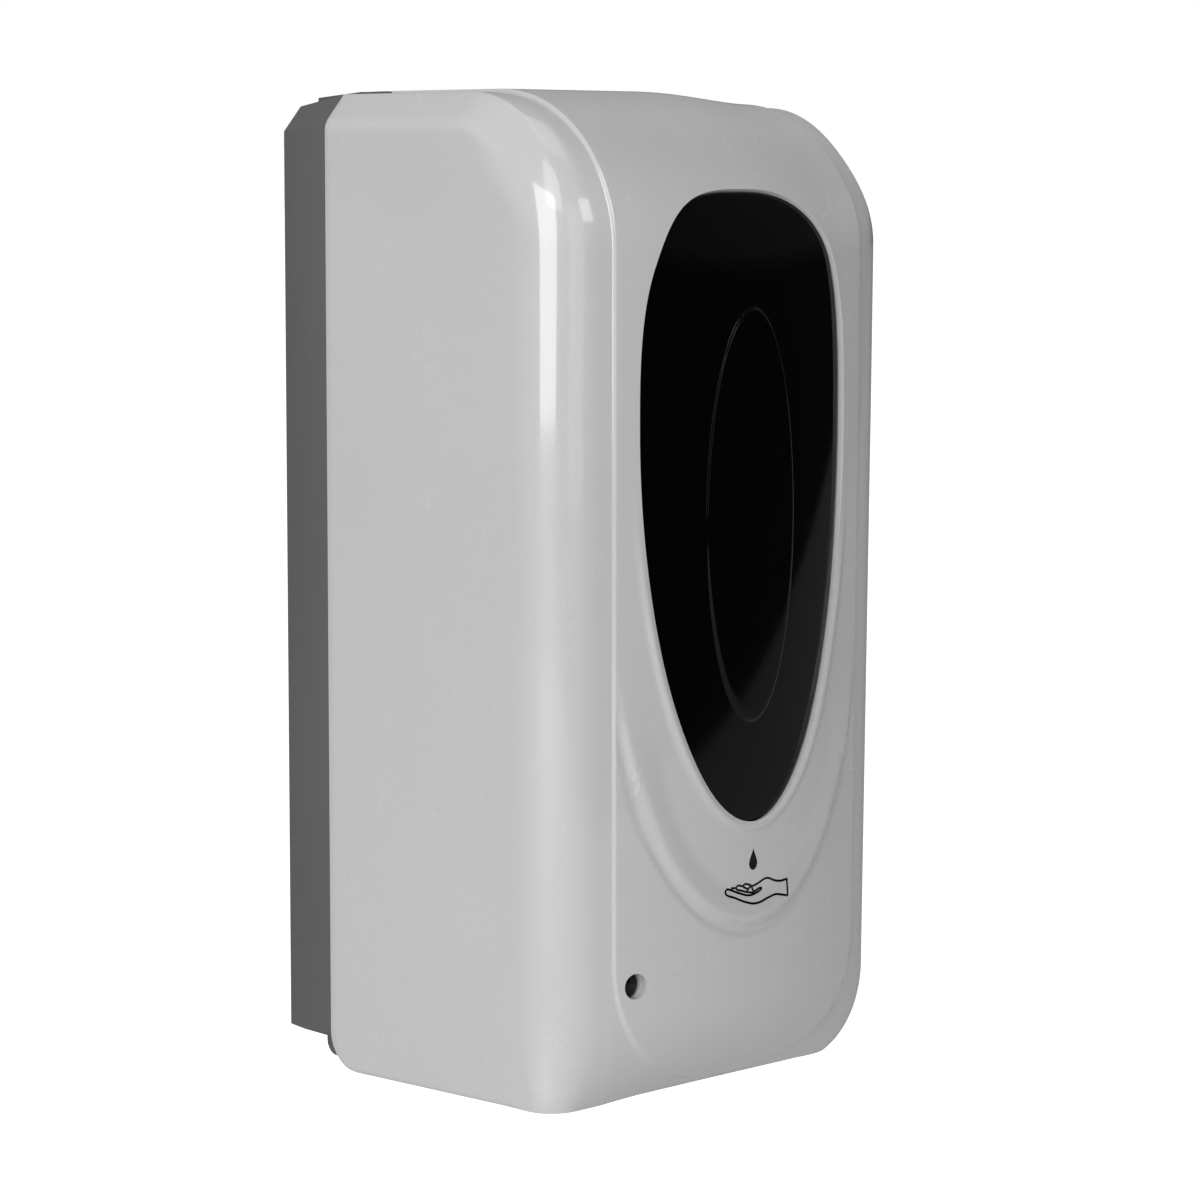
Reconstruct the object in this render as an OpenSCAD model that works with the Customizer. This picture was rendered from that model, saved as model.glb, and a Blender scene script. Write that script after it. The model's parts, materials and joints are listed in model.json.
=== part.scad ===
// Wall mounted touch-free soap dispenser, about one litre.
// Frame: the wall is the plane y = 0, the dispenser stands out of it towards -Y, +Z is up,
// and the origin is the middle of the wall face. Every length is in millimetres.

/* [Cover] */
// Width of the cover, side to side
cover_w = 130.6; // [128:0.2:132]
// Distance from the wall to the middle of the front
cover_depth = 117.4; // [117:0.2:119]
// Height of the raised panel's top above the origin
band_top = 134.9; // [134.5:0.1:136]
// Thickness of the cover's wall
cover_wall = 2.5; // [2:0.1:2.6]
// Height by which the middle panel stands proud
panel_step = 0.9; // [0.4:0.1:1]
// Half width of the raised middle panel
panel_half = 48; // [47:0.5:49.5]
// Radius of the front's crown, seen from above
crown_r = 183; // [175:1:200]
// Radius of the upright front corners
corner_r = 18; // [15:1:19]
// Radius of the top front edge
brow_r = 45; // [42:1:46]
// Radius of the tucked-in bottom front edge
chin_r = 31; // [29:1:33]

/* [Back case] */
// Thickness of the back case's side walls
case_wall = 2.5; // [2:0.1:3]
// Radius of a wall screw hole
screw_hole_r = 2.5; // [2:0.1:3]
// Distance between the wall screws, side to side
screw_dx = 90; // [86:1:94]
// Distance between the wall screws, up and down
screw_dz = 130; // [124:1:134]

/* [Hinge and lock] */
// Radius of a hinge pin
hinge_pin_r = 2; // [1.8:0.1:2.2]
// Radial clearance of a running fit
run_gap = 0.05; // [0.02:0.01:0.08]
// Radius of the lock's plug
plug_r = 4.5; // [4.5:0.1:5]

/* [Reservoir] */
// Half width of the reservoir
tank_half = 52; // [48:0.5:52.2]
// Thickness of the reservoir's wall
tank_wall = 1.6; // [1.2:0.1:2.2]

/* [Pump drive] */
// Teeth on a wheel
wheel_teeth = 36; // [36]
// Teeth on a pinion
pinion_teeth = 12; // [12]
// Gear module
gear_m = 0.7; // [0.7]
// Radius of the pump tube's centre line round the rollers
tube_wrap_r = 13.5; // [13.5:0.1:13.7]
// Outer radius of the pump tube
tube_r = 3; // [2.8:0.1:3]
// Radius of a roller
roller_r = 3.4; // [3.2:0.1:3.4]

/* [Hidden] */

eps = 0.01;
gap = 0.3;                     // room between pieces of different bodies
half_w = cover_w / 2;
cover_top = band_top - panel_step;
cover_bottom = -134;
case_depth = 18.4;
cover_rear = case_depth + gap;
plate_t = 3;                   // thickness of the case's back plate

// The hinge axis is the centre of the cover's rounded lower rear corner
heel_r = 10.8;
hinge_y = -cover_rear - heel_r;
hinge_z = cover_bottom + heel_r;
lug_in = 50;
lug_out = 56;
knuckle_r = 6.5;

// Back case: half width, top and bottom, at the wall and at the rim
case_half = [63.4, 65.1];
case_top = [130.9, 133.9];
case_bottom = [-124.6, -126];
cham_x = 7.2;
cham_z = 8;
screw_mid_z = 35;
ledge_half = 50;
ledge_y = -26.2;               // front end of the ledge on the case's top

// Lock
lock_y = -14;
barrel_r = 7;
cam_z = 121;
cam_t = 2.5;
hook_r = 20;
stem_r = 2.4;
square_half = 3.1;
post_y = [-32.5, -28.5];

// Window outline: a superellipse above its widest line, an ellipse below it
win_half = 40.4;
win_mid_z = 46;
win_up = 62;
win_down = 107.5;
win_sunk = 1.4;                // how far the window sits below the cover's front
win_t = 3.2;
win_flange = 3;
oval_half_w = 17.3;            // long oval raised on the window
oval_half_h = 55.5;
oval_z = 21.3;

// Indicator hole
led_x = -41.3;
led_z = -101.6;
led_hole_r = 3.2;
lens_y = [-109.4, -105.5];

// Chassis, below the reservoir
shelf_z = [-53, -50];
shelf_half = 55;
chassis_half = 48;
floor_z = [-122, -119.5];
chassis_wall = 2.5;
gear_plate_y = [-59, -56];
chassis_front = -97;
panel_front = -99.5;
boss_x = 42;
boss_z = [-116, -57];
board_x = 34;
board_z = [-112, -62];
board_y = [-26, -24.4];

// Pump axes, all along Y
rotor_x = -20;
axis_z = -91.5;
gear_pitch = gear_m * (wheel_teeth + pinion_teeth) / 2;
idler_x = rotor_x + gear_pitch;
motor_x = idler_x + gear_pitch;
near_motor_y = [-65, -60];     // the layer of the motor pinion and the idler's wheel
near_pump_y = [-71, -66];      // the layer of the idler's pinion and the rotor gear
tube_y = -82;
orbit_r = tube_wrap_r - tube_r - 0.2 - roller_r;
rotor_shaft_r = 2;
idler_pin_r = 1.5;
motor_shaft_r = 1;
motor_r = 10;
motor_flat = 7.5;
pump_x = [-41, 17];
pump_z = [-111, -72];
pump_back_y = [-75.5, -73];
pump_cover_y = [-91, -88.5];
pump_screw_x = [-37, 13];
pump_screw_z = [-107, -76];
roller_angles = [90, 210, 330];

// Inlet and outlet, both on x = 0
elbow_r = 7;
straight = 1;                  // straight run of tube at each barb
tube_top_z = axis_z + tube_wrap_r + elbow_r + straight;
nozzle_top_z = axis_z - tube_wrap_r - elbow_r - straight;
nozzle_tip_z = -131.5;
spigot_r = 7.9;
socket_r = 12;
sensor_x = 17;

// Reservoir
tank_y = [-104, -25];
tank_z = [-49.7, 90];
neck_y = -66;
neck_r = 13;
neck_z = 95;
lid_hinge_y = -50;
lid_hinge_z = 96.5;

// Battery bay
cell_r = 7.15;
cell_len = 49.5;
cell_nub = 1;
cell_y = -11.05;
cell_pitch = 15;
contact_z = [10, 66.5];
spring_h = 6;

// Controls on the service panel
rocker = [30, -98.5, -68];
rocker_r = 6;
slider_x = 30;
slider_z = -96;

case_grey = [0.37, 0.37, 0.38];
cover_white = [0.82, 0.82, 0.82];
black = [0.03, 0.03, 0.035];
white = [0.9, 0.9, 0.88];
steel = [0.7, 0.71, 0.73];
brass = [0.75, 0.6, 0.3];
clear = [0.8, 0.88, 0.92];

// ---------- helpers ----------
module box(x, y, z) {
    translate([x[0], y[0], z[0]]) cube([x[1] - x[0], y[1] - y[0], z[1] - z[0]]);
}
module rod_x(y, z, x, r, sides = 48) {
    translate([x[0], y, z]) rotate([0, 90, 0]) cylinder(h = x[1] - x[0], r = r, $fn = sides);
}
module rod_y(x, z, y, r, sides = 48) {
    translate([x, y[1], z]) rotate([90, 0, 0]) cylinder(h = y[1] - y[0], r = r, $fn = sides);
}
module rod_z(x, y, z, r, sides = 48) {
    translate([x, y, z[0]]) cylinder(h = z[1] - z[0], r = r, $fn = sides);
}
// Prism along Y of an outline in X and Z
module prism_y(y, pts) {
    translate([0, y[1], 0]) rotate([90, 0, 0]) linear_extrude(y[1] - y[0]) polygon(pts);
}
// Prism along X of an outline in Y and Z
module prism_x(x, pts) {
    translate([x[0], 0, 0]) rotate([90, 0, 90]) linear_extrude(x[1] - x[0]) polygon(pts);
}
module prism_z(z, pts) {
    translate([0, 0, z[0]]) linear_extrude(z[1] - z[0]) polygon(pts);
}
module both_sides() {
    children();
    mirror([1, 0, 0]) children();
}
function polar(c, r, a) = [c[0] + r * cos(a), c[1] + r * sin(a)];
function arc(c, r, a, n) = [for (i = [0:n]) polar(c, r, a[0] + (a[1] - a[0]) * i / n)];
// Rectangle with round corners of radius r
function rounded(u, v, r, n = 6) = concat(
    arc([u[1] - r, v[1] - r], r, [0, 90], n),
    arc([u[0] + r, v[1] - r], r, [90, 180], n),
    arc([u[0] + r, v[0] + r], r, [180, 270], n),
    arc([u[1] - r, v[0] + r], r, [270, 360], n));
function at_depth(pair, y) = pair[0] + (pair[1] - pair[0]) * -y / case_depth;

// Cross-slot screw with its head towards -Y, from y back into +Y
module screw(x, z, y, shank) {
    difference() {
        union() {
            rod_y(x, z, [y, y + 1.8], 2.8, 32);
            rod_y(x, z, [y + 1.5, y + 1.8 + shank], 1.2, 24);
        }
        box([x - 1.6, x + 1.6], [y - 1, y + 0.8], [z - 0.35, z + 0.35]);
        box([x - 0.35, x + 0.35], [y - 1, y + 0.8], [z - 1.6, z + 1.6]);
    }
}
// Tube swept along a route, as one closed polyhedron
function unit(v) = v / norm(v);
module sweep(route, r, sides) {
    n = len(route);
    rings = [for (i = [0:n - 1])
        let (t = unit(route[min(i + 1, n - 1)] - route[max(i - 1, 0)]),
             side = abs(t[1]) > 0.9 ? [1, 0, 0] : [0, 1, 0],
             u = unit(cross(t, side)),
             v = cross(t, u))
        for (k = [0:sides - 1])
            route[i] + r * (cos(360 * k / sides) * u + sin(360 * k / sides) * v)];
    walls = [for (i = [0:n - 2]) for (k = [0:sides - 1])
        let (a = i * sides + k, b = i * sides + (k + 1) % sides)
        each [[a, b, b + sides], [a, b + sides, a + sides]]];
    ends = [[for (k = [0:sides - 1]) sides - 1 - k], [for (k = [0:sides - 1]) (n - 1) * sides + k]];
    polyhedron(rings, concat(walls, ends), convexity = 6);
}
// Involute gear outline with a tooth centred at angle 0, thinned for backlash
function involute(a) = tan(a) * 180 / PI - a;
function gear_pts(teeth, turn = 0, pressure = 25, backlash = 0.12) =
    let (rp = gear_m * teeth / 2,
         rb = rp * cos(pressure),
         ra = rp + gear_m,
         rf = rp - 1.25 * gear_m,
         r0 = max(rb, rf),
         half = 90 / teeth - backlash / 2 / rp * 180 / PI,
         radii = [for (i = [0:4]) r0 + (ra - r0) * i / 4],
         spread = [for (r = radii) half + involute(pressure) - involute(acos(rb / r))])
    [for (t = [0:teeth - 1]) let (mid = turn + 360 * t / teeth)
        each concat([polar([0, 0], rf, mid - spread[0])],
            [for (i = [0:4]) polar([0, 0], radii[i], mid - spread[i])],
            [for (i = [4:-1:0]) polar([0, 0], radii[i], mid + spread[i])],
            [polar([0, 0], rf, mid + spread[0])])];
module gear(x, y, teeth, turn = 0) {
    translate([x, 0, axis_z]) prism_y(y, gear_pts(teeth, turn));
}

// ---------- outer form of the cover ----------
// Seen from above: crowned front set in by f, sides set in by s
function plan_pts(f, s) =
    let (fx = half_w - corner_r,
         crown_y = cover_depth - crown_r,
         fy = crown_y + sqrt(pow(crown_r - corner_r, 2) - fx * fx),
         a = atan2(fy - crown_y, fx),
         turn = [for (i = [0:7]) polar([fx, fy], corner_r - s + (s - f) * i / 8, a * i / 8)],
         front = [for (i = [0:16]) polar([0, crown_y], crown_r - f, a + (180 - 2 * a) * i / 16)],
         back = [for (i = [7:-1:0]) [-turn[i][0], turn[i][1]]],
         all = concat([[half_w - s, 5]], turn, front, back, [[s - half_w, 5]]))
    [for (p = all) [p[0], -p[1]]];
// Side profile: brow, front, chin down to the bottom b, then the points in rear
function side_pts(f, b, rear) =
    let (brow_c = [brow_r - cover_depth, band_top - brow_r],
         chin_c = [chin_r - cover_depth, cover_bottom + 25],
         chin_end = asin((chin_c[1] - b) / (chin_r - f)))
    concat(arc(brow_c, brow_r - f, [90, 180], 14),
        arc(chin_c, chin_r - f, [180, 180 + chin_end], 7), rear);
heel = concat(arc([hinge_y, hinge_z], heel_r, [270, 360], 6), [[-cover_rear, band_top]]);
// Seen from the front: the two top corners are chamfered
function front_pts(s) = let (w = half_w - s, t = cover_top - s, c = s / 2.5)
    [[-w, -150], [w, -150], [w, t - cham_z + c], [w - cham_x + c, t], [c - w + cham_x, t],
     [-w, t - cham_z + c]];

module cover_body() {
    intersection() {
        prism_z([-150, 150], plan_pts(panel_step, 0));
        prism_x([-80, 80], side_pts(panel_step, cover_bottom, heel));
        prism_y([-130, 0], front_pts(0));
    }
    intersection() {
        prism_z([-150, 150], plan_pts(0, 0));
        prism_x([-panel_half, panel_half], side_pts(0, cover_bottom, heel));
    }
}
module cover_hollow() {
    inner = cover_bottom + cover_wall;
    f = panel_step + cover_wall;
    intersection() {
        prism_z([-150, 150], plan_pts(f, cover_wall));
        prism_x([-80, 80], side_pts(f, inner, [[-5, inner], [-5, band_top - f]]));
        prism_y([-130, 0], front_pts(cover_wall));
    }
}
// Layer that follows the cover's front, from depth d[0] to d[1] below it
module front_layer(d) {
    rear = [[-40, cover_bottom], [-40, 150]];
    difference() {
        intersection() {
            prism_z([-70, 120], plan_pts(d[0], 5));
            prism_x([-50, 50], side_pts(d[0], cover_bottom, rear));
        }
        intersection() {
            prism_z([-150, 150], plan_pts(d[1], -5));
            prism_x([-80, 80], side_pts(d[1], cover_bottom, rear));
        }
    }
}
// Window outline grown by g; n is the number of points on each half
function win_pts(g, n = 28) = concat(
    [for (i = [0:n]) let (a = 180 * i / n)
        [(win_half + g) * sign(cos(a)) * pow(abs(cos(a)), 2 / 3),
         win_mid_z + (win_up + g) * pow(sin(a), 2 / 3)]],
    [for (i = [1:n - 1]) let (a = 180 + 180 * i / n)
        [(win_half + g) * cos(a), win_mid_z + (win_down + g) * sin(a)]]);
function oval_pts(n = 40) = [for (i = [0:n - 1])
    [oval_half_w * cos(360 * i / n), oval_z + oval_half_h * sin(360 * i / n)]];

// ---------- cover ----------
module front_cover() {
    color(cover_white) difference() {
        union() {
            difference() {
                cover_body();
                cover_hollow();
                // bottom wall cut away behind, and open below the nozzle
                box([-half_w + cover_wall, half_w - cover_wall], [-41.5, 0],
                    [cover_bottom - 1, cover_bottom + cover_wall + 0.1]);
                box([-34, 34], [-99, -41], [cover_bottom - 1, cover_bottom + cover_wall + 0.1]);
                // notch for the ledge of the case
                box([-ledge_half - 0.4, ledge_half + 0.4], [ledge_y - 0.4, 0], [130, 140]);
            }
            both_sides() rod_x(hinge_y, hinge_z, [lug_out + gap, half_w - 2], knuckle_r);
            rod_y(led_x, led_z, [-111, lens_y[1]], 5.2);
        }
        both_sides() rod_x(hinge_y, hinge_z, [lug_out, 62.5], hinge_pin_r + run_gap);
        prism_y([-130, -100], win_pts(0));
        rod_y(led_x, led_z, [-130, -100], led_hole_r);
    }
}
module window() {
    color(black) union() {
        intersection() {
            prism_y([-130, -90], win_pts(0));
            front_layer([win_sunk, win_sunk + win_t]);
        }
        intersection() {
            prism_y([-130, -90], win_pts(win_flange));
            front_layer([panel_step + cover_wall, win_sunk + win_t]);
        }
        intersection() {
            prism_y([-130, -90], oval_pts());
            front_layer([win_sunk - 0.5, win_sunk + 1]);
        }
    }
}
// Post that the lock's cam closes in front of
module cover_catch() {
    color(cover_white) box([-2.5, 2.5], post_y, [119, cover_top - cover_wall]);
}
module indicator_lens() {
    color(black) rod_y(led_x, led_z, lens_y, led_hole_r);
}

// ---------- back case ----------
// All that lies outside the chamfer at the top right of the case, set in by s
module chamfer_cut(s) {
    rear = [case_half[0] - 0.86 * cham_x, 0, case_top[0]];
    front = [case_half[1] - cham_x, -case_depth, case_top[1]];
    slope = (cham_z * (front[0] - rear[0]) + cham_x * (front[2] - rear[2])) / case_depth;
    n = [cham_z, slope, cham_x] / norm([cham_z, slope, cham_x]);
    translate(rear - n * s) rotate([0, acos(n[2]), atan2(n[1], n[0])])
        translate([-60, -60, 0]) cube([120, 120, 40]);
}
// Case form set in by s, from depth y[0] to y[1]
module case_form(s, y) {
    w = [at_depth(case_half, y[0]) - s, at_depth(case_half, y[1]) - s];
    t = [at_depth(case_top, y[0]) - s, at_depth(case_top, y[1]) - s];
    b = [at_depth(case_bottom, y[0]) + s, at_depth(case_bottom, y[1]) + s];
    difference() {
        intersection() {
            prism_z([-150, 150], [[-w[0], y[0]], [w[0], y[0]], [w[1], y[1]], [-w[1], y[1]]]);
            prism_x([-80, 80], [[y[0], b[0]], [y[1], b[1]], [y[1], t[1]], [y[0], t[0]]]);
            prism_y(y, [[-w[0] + 2, b[0]], [w[0] - 2, b[0]], [w[0], b[0] + 2], [w[0], 150], [-w[0], 150],
                [-w[0], b[0] + 2]]);
        }
        both_sides() chamfer_cut(s);
    }
}
module back_case() {
    beam = concat(arc([-17, -127.5], 4, [270, 360], 5), [[-13, -125], [hinge_y, -125], [hinge_y, -131.5]]);
    color(case_grey) difference() {
        union() {
            difference() {
                case_form(0, [-case_depth, 0]);
                case_form(case_wall, [-case_depth - 1, -plate_t]);
            }
            // ledge that carries the lock, reaching into the cover's notch
            prism_x([-ledge_half, ledge_half], [[-16, 130], [-16, 134.5], [-18.4, 134.7], [ledge_y, 134.8],
                [ledge_y, 131.6], [-19, 131.6]]);
            prism_x([-ledge_half - 1.5, ledge_half + 1.5], [[-1, 128], [-1, 133.3], [-18.4, 134.7],
                [-18.4, 131.2], [-17, 128]]);
            // hinge beam and lugs
            difference() {
                prism_x([-61.5, 61.5], beam);
                both_sides() rod_x(hinge_y, hinge_z, [lug_out + eps, 70], knuckle_r + 0.5);
            }
            both_sides() {
                rod_x(hinge_y, hinge_z, [lug_in, lug_out], knuckle_r);
                box([lug_in, lug_out], [hinge_y, -case_depth + 1], [-130, hinge_z + knuckle_r]);
            }
            // pads round the wall screws, posts for the chassis and the board
            for (x = [-1, 1], z = [-1, 1])
                rod_y(x * screw_dx / 2, screw_mid_z + z * screw_dz / 2, [-5, -plate_t + 1], 7);
            for (x = [-boss_x, boss_x], z = boss_z)
                rod_y(x, z, [-case_depth, -plate_t + 1], 3.6, 32);
            for (x = [-board_x, board_x], z = board_z)
                rod_y(x, z, [board_y[1], -plate_t + 1], 2.8, 32);
            // stiffening ribs
            for (z = [-28, 82, 108])
                box([-62, 62], [-6, -plate_t + 1], [z, z + 1.5]);
        }
        for (x = [-1, 1], z = [-1, 1])
            rod_y(x * screw_dx / 2, screw_mid_z + z * screw_dz / 2, [-10, 1], screw_hole_r);
        for (x = [-boss_x, boss_x], z = boss_z)
            rod_y(x, z, [-20, -8], 1.2, 24);
        for (x = [-board_x, board_x], z = board_z)
            rod_y(x, z, [-30, -14], 1.2, 24);
        both_sides() rod_x(hinge_y, hinge_z, [lug_in - 1, 60], hinge_pin_r);
        rod_z(0, lock_y, [120, 140], barrel_r);
    }
}
module hinge_pins() {
    color(steel) both_sides() rod_x(hinge_y, hinge_z, [lug_in, 62.2], hinge_pin_r);
}

// ---------- lock ----------
module lock_barrel() {
    color(steel) difference() {
        rod_z(0, lock_y, [124, 134.7], barrel_r);
        rod_z(0, lock_y, [120, 140], plug_r + run_gap);
    }
}
module lock_plug() {
    color(brass) difference() {
        union() {
            rod_z(0, lock_y, [cam_z + cam_t, 134.4], plug_r);
            box([-square_half, square_half], [lock_y - square_half, lock_y + square_half],
                [cam_z, cam_z + cam_t + eps]);
            rod_z(0, lock_y, [cam_z - 4.5, cam_z + eps], stem_r, 32);
        }
        box([-0.6, 0.6], [lock_y - 2.6, lock_y + 2.6], [128, 140]);
    }
}
module lock_cam() {
    color(steel) difference() {
        translate([0, lock_y, cam_z]) union() {
            cylinder(h = cam_t, r = 6.5, $fn = 48);
            rotate([0, 0, 155]) translate([0, -2, 0]) cube([hook_r + 0.5, 4, cam_t]);
            rotate([0, 0, 153]) rotate_extrude(angle = 52, $fn = 96)
                translate([hook_r, 0]) square([3.5, cam_t]);
        }
        box([-square_half, square_half], [lock_y - square_half, lock_y + square_half],
            [cam_z - 1, cam_z + cam_t + 1]);
    }
}
module cam_nut() {
    color(brass) difference() {
        rod_z(0, lock_y, [cam_z - 3, cam_z], 4.6, 6);
        rod_z(0, lock_y, [cam_z - 4, cam_z + 1], stem_r, 32);
    }
}

// ---------- chassis ----------
module chassis() {
    out = [-chassis_half, chassis_half];
    in_half = chassis_half - chassis_wall;
    color(white) difference() {
        union() {
            // box open at the front and the back, divided by the gear plate
            difference() {
                box(out, [chassis_front, -case_depth], [floor_z[0], shelf_z[0] + eps]);
                box([-in_half, in_half], [chassis_front - 1, -case_depth + 1],
                    [floor_z[1], shelf_z[0] - 0.5]);
            }
            box([-in_half - eps, in_half + eps], gear_plate_y, [floor_z[1] - eps, shelf_z[0]]);
            // shelf with side guides and the socket for the spout
            box([-shelf_half, shelf_half], [-104, -22], shelf_z);
            both_sides() box([52.6, shelf_half], [-95, -35], [shelf_z[1] - eps, -42]);
            rod_z(0, tube_y, [-66, shelf_z[1]], 15);
            // corner bosses, back and front
            for (x = [-1, 1], z = boss_z, y = [[-24, -case_depth], [chassis_front, -88]])
                box([x * boss_x - 4, x * boss_x + 4], y, [z - 4.1, z + 4.1]);
            // posts for the pump
            for (x = pump_screw_x, z = pump_screw_z)
                rod_y(x, z, [pump_back_y[1], gear_plate_y[0] + eps], 3, 32);
            // motor cradle
            for (z = [axis_z - motor_flat - 2.5, axis_z + motor_flat])
                box([motor_x - 8, motor_x + 8], [-50, gear_plate_y[1]], [z, z + 2.5]);
        }
        rod_z(0, tube_y, [-63, -40], socket_r);
        rod_z(0, tube_y, [-70, -60], tube_r + 0.2, 32);
        box([motor_x - 9, motor_x + 9], [-56 + eps, -30], [axis_z - motor_flat, axis_z + motor_flat]);
        rod_y(motor_x, axis_z, [-60, -50], 3.05, 32);
        rod_y(rotor_x, axis_z, [-60, -50], 3.5, 32);
        rod_y(idler_x, axis_z, [-60, -50], idler_pin_r, 32);
        rod_z(0, tube_y, [-125, -110], 5.1, 32);
        for (x = [-sensor_x, sensor_x]) rod_z(x, tube_y, [-125, -110], 2.6, 32);
        for (x = [-boss_x, boss_x], z = boss_z) {
            rod_y(x, z, [-30, -10], 1.3, 24);
            rod_y(x, z, [-100, -89], 1.2, 24);
        }
        for (x = pump_screw_x, z = pump_screw_z) rod_y(x, z, [-80, -63], 1.2, 24);
    }
}
module chassis_screws() {
    color(steel) for (x = [-boss_x, boss_x], z = boss_z) screw(x, z, -25.8, 15);
}
module service_panel() {
    color(white) difference() {
        box([-chassis_half, chassis_half], [panel_front, chassis_front], [floor_z[0], shelf_z[0]]);
        for (x = [-boss_x, boss_x], z = boss_z) rod_y(x, z, [-105, -90], 1.3, 24);
        box([rocker[0] - 7.5, rocker[0] + 7.5], [-105, -90], [rocker[2] - 8, rocker[2] + 8]);
        box([slider_x - 1.8, slider_x + 1.8], [-105, -90], [slider_z - 2.5, slider_z + 8.5]);
        rod_y(led_x, led_z, [-105, -90], 2.5, 32);
    }
}
module panel_screws() {
    color(steel) for (x = [-boss_x, boss_x], z = boss_z) screw(x, z, panel_front - 1.8, 8);
}

// ---------- motor and gears ----------
module shaft_bush() {
    color(brass) difference() {
        rod_y(rotor_x, axis_z, gear_plate_y, 3.5, 32);
        rod_y(rotor_x, axis_z, [-60, -50], rotor_shaft_r + run_gap, 32);
    }
}
module idler_pin() {
    color(steel) rod_y(idler_x, axis_z, [pump_back_y[0], gear_plate_y[1]], idler_pin_r, 32);
}
module flat_can(y) {
    intersection() {
        rod_y(motor_x, axis_z, y, motor_r);
        box([motor_x - 20, motor_x + 20], [-70, -20], [axis_z - motor_flat, axis_z + motor_flat]);
    }
}
module motor_can() {
    color(steel) difference() {
        union() {
            flat_can([-55.8, -33]);
            rod_y(motor_x, axis_z, [-57.5, -55], 3, 32);
        }
        rod_y(motor_x, axis_z, [-60, -30], motor_shaft_r + run_gap, 32);
    }
}
module motor_cap() {
    color(white) difference() {
        union() {
            flat_can([-33, -30]);
            for (z = [-5, 5])
                box([motor_x - 1.2, motor_x + 1.2], [-30 - eps, -28], [axis_z + z - 0.3, axis_z + z + 0.3]);
        }
        rod_y(motor_x, axis_z, [-34, -31], motor_shaft_r + run_gap, 32);
    }
}
module motor_shaft() {
    color(steel) rod_y(motor_x, axis_z, [-66, -31.5], motor_shaft_r, 32);
}
module motor_pinion() {
    color(brass) difference() {
        gear(motor_x, near_motor_y, pinion_teeth, 180 / pinion_teeth);
        rod_y(motor_x, axis_z, [-70, -50], motor_shaft_r, 32);
    }
}
module idler_gear() {
    color(white) difference() {
        union() {
            gear(idler_x, near_motor_y, wheel_teeth);
            gear(idler_x, [near_pump_y[0], near_motor_y[0] + eps], pinion_teeth, 180 / pinion_teeth);
        }
        rod_y(idler_x, axis_z, [-80, -50], idler_pin_r + run_gap, 32);
    }
}
module rotor_gear() {
    color(white) difference() {
        gear(rotor_x, near_pump_y, wheel_teeth);
        rod_y(rotor_x, axis_z, [-80, -50], rotor_shaft_r, 32);
        for (a = [0:60:300])
            rod_y(rotor_x + 7.5 * cos(a), axis_z + 7.5 * sin(a), [-80, -50], 2, 24);
    }
}
module rotor_shaft() {
    color(steel) rod_y(rotor_x, axis_z, [-90.4, -54.5], rotor_shaft_r, 32);
}

// ---------- pump ----------
module pump_screw_holes(r) {
    for (x = pump_screw_x, z = pump_screw_z) rod_y(x, z, [-95, -70], r, 24);
}
module pump_housing() {
    open_y = [pump_cover_y[1] - 1, pump_back_y[0]];
    race_r = tube_wrap_r + tube_r + 0.3;
    color(white) difference() {
        box(pump_x, [pump_cover_y[1], pump_back_y[1]], pump_z);
        rod_y(rotor_x, axis_z, open_y, race_r);
        box([rotor_x, 3.5], open_y, [axis_z - race_r, axis_z - 9.8]);
        box([rotor_x, 3.5], open_y, [axis_z + 9.8, axis_z + race_r]);
        box([-9, 3.5], open_y, [axis_z + 9.8, pump_z[1] + 1]);
        box([-9, 3.5], open_y, [pump_z[0] - 1, axis_z - 9.8]);
        rod_y(rotor_x, axis_z, [-80, -70], rotor_shaft_r + run_gap, 32);
        rod_y(idler_x, axis_z, [-80, -70], idler_pin_r, 32);
        pump_screw_holes(1.3);
    }
}
module pump_cover() {
    color(clear) difference() {
        box(pump_x, pump_cover_y, pump_z);
        rod_y(rotor_x, axis_z, [-90.7, -80], rotor_shaft_r + run_gap, 32);
        pump_screw_holes(1.3);
    }
}
module pump_screws() {
    color(steel) for (x = pump_screw_x, z = pump_screw_z) screw(x, z, pump_cover_y[0] - 1.8, 25);
}
module roller_carrier() {
    color(white) difference() {
        union() {
            rod_y(rotor_x, axis_z, [-77.9, -76.3], 9);
            rod_y(rotor_x, axis_z, [-87.7, -86.1], 9);
            rod_y(rotor_x, axis_z, [-87, -77], 3.2, 32);
        }
        rod_y(rotor_x, axis_z, [-95, -70], rotor_shaft_r, 32);
        for (a = roller_angles) roller_axis(a) cylinder(h = 20, r = 1.2, $fn = 24);
    }
}
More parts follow.
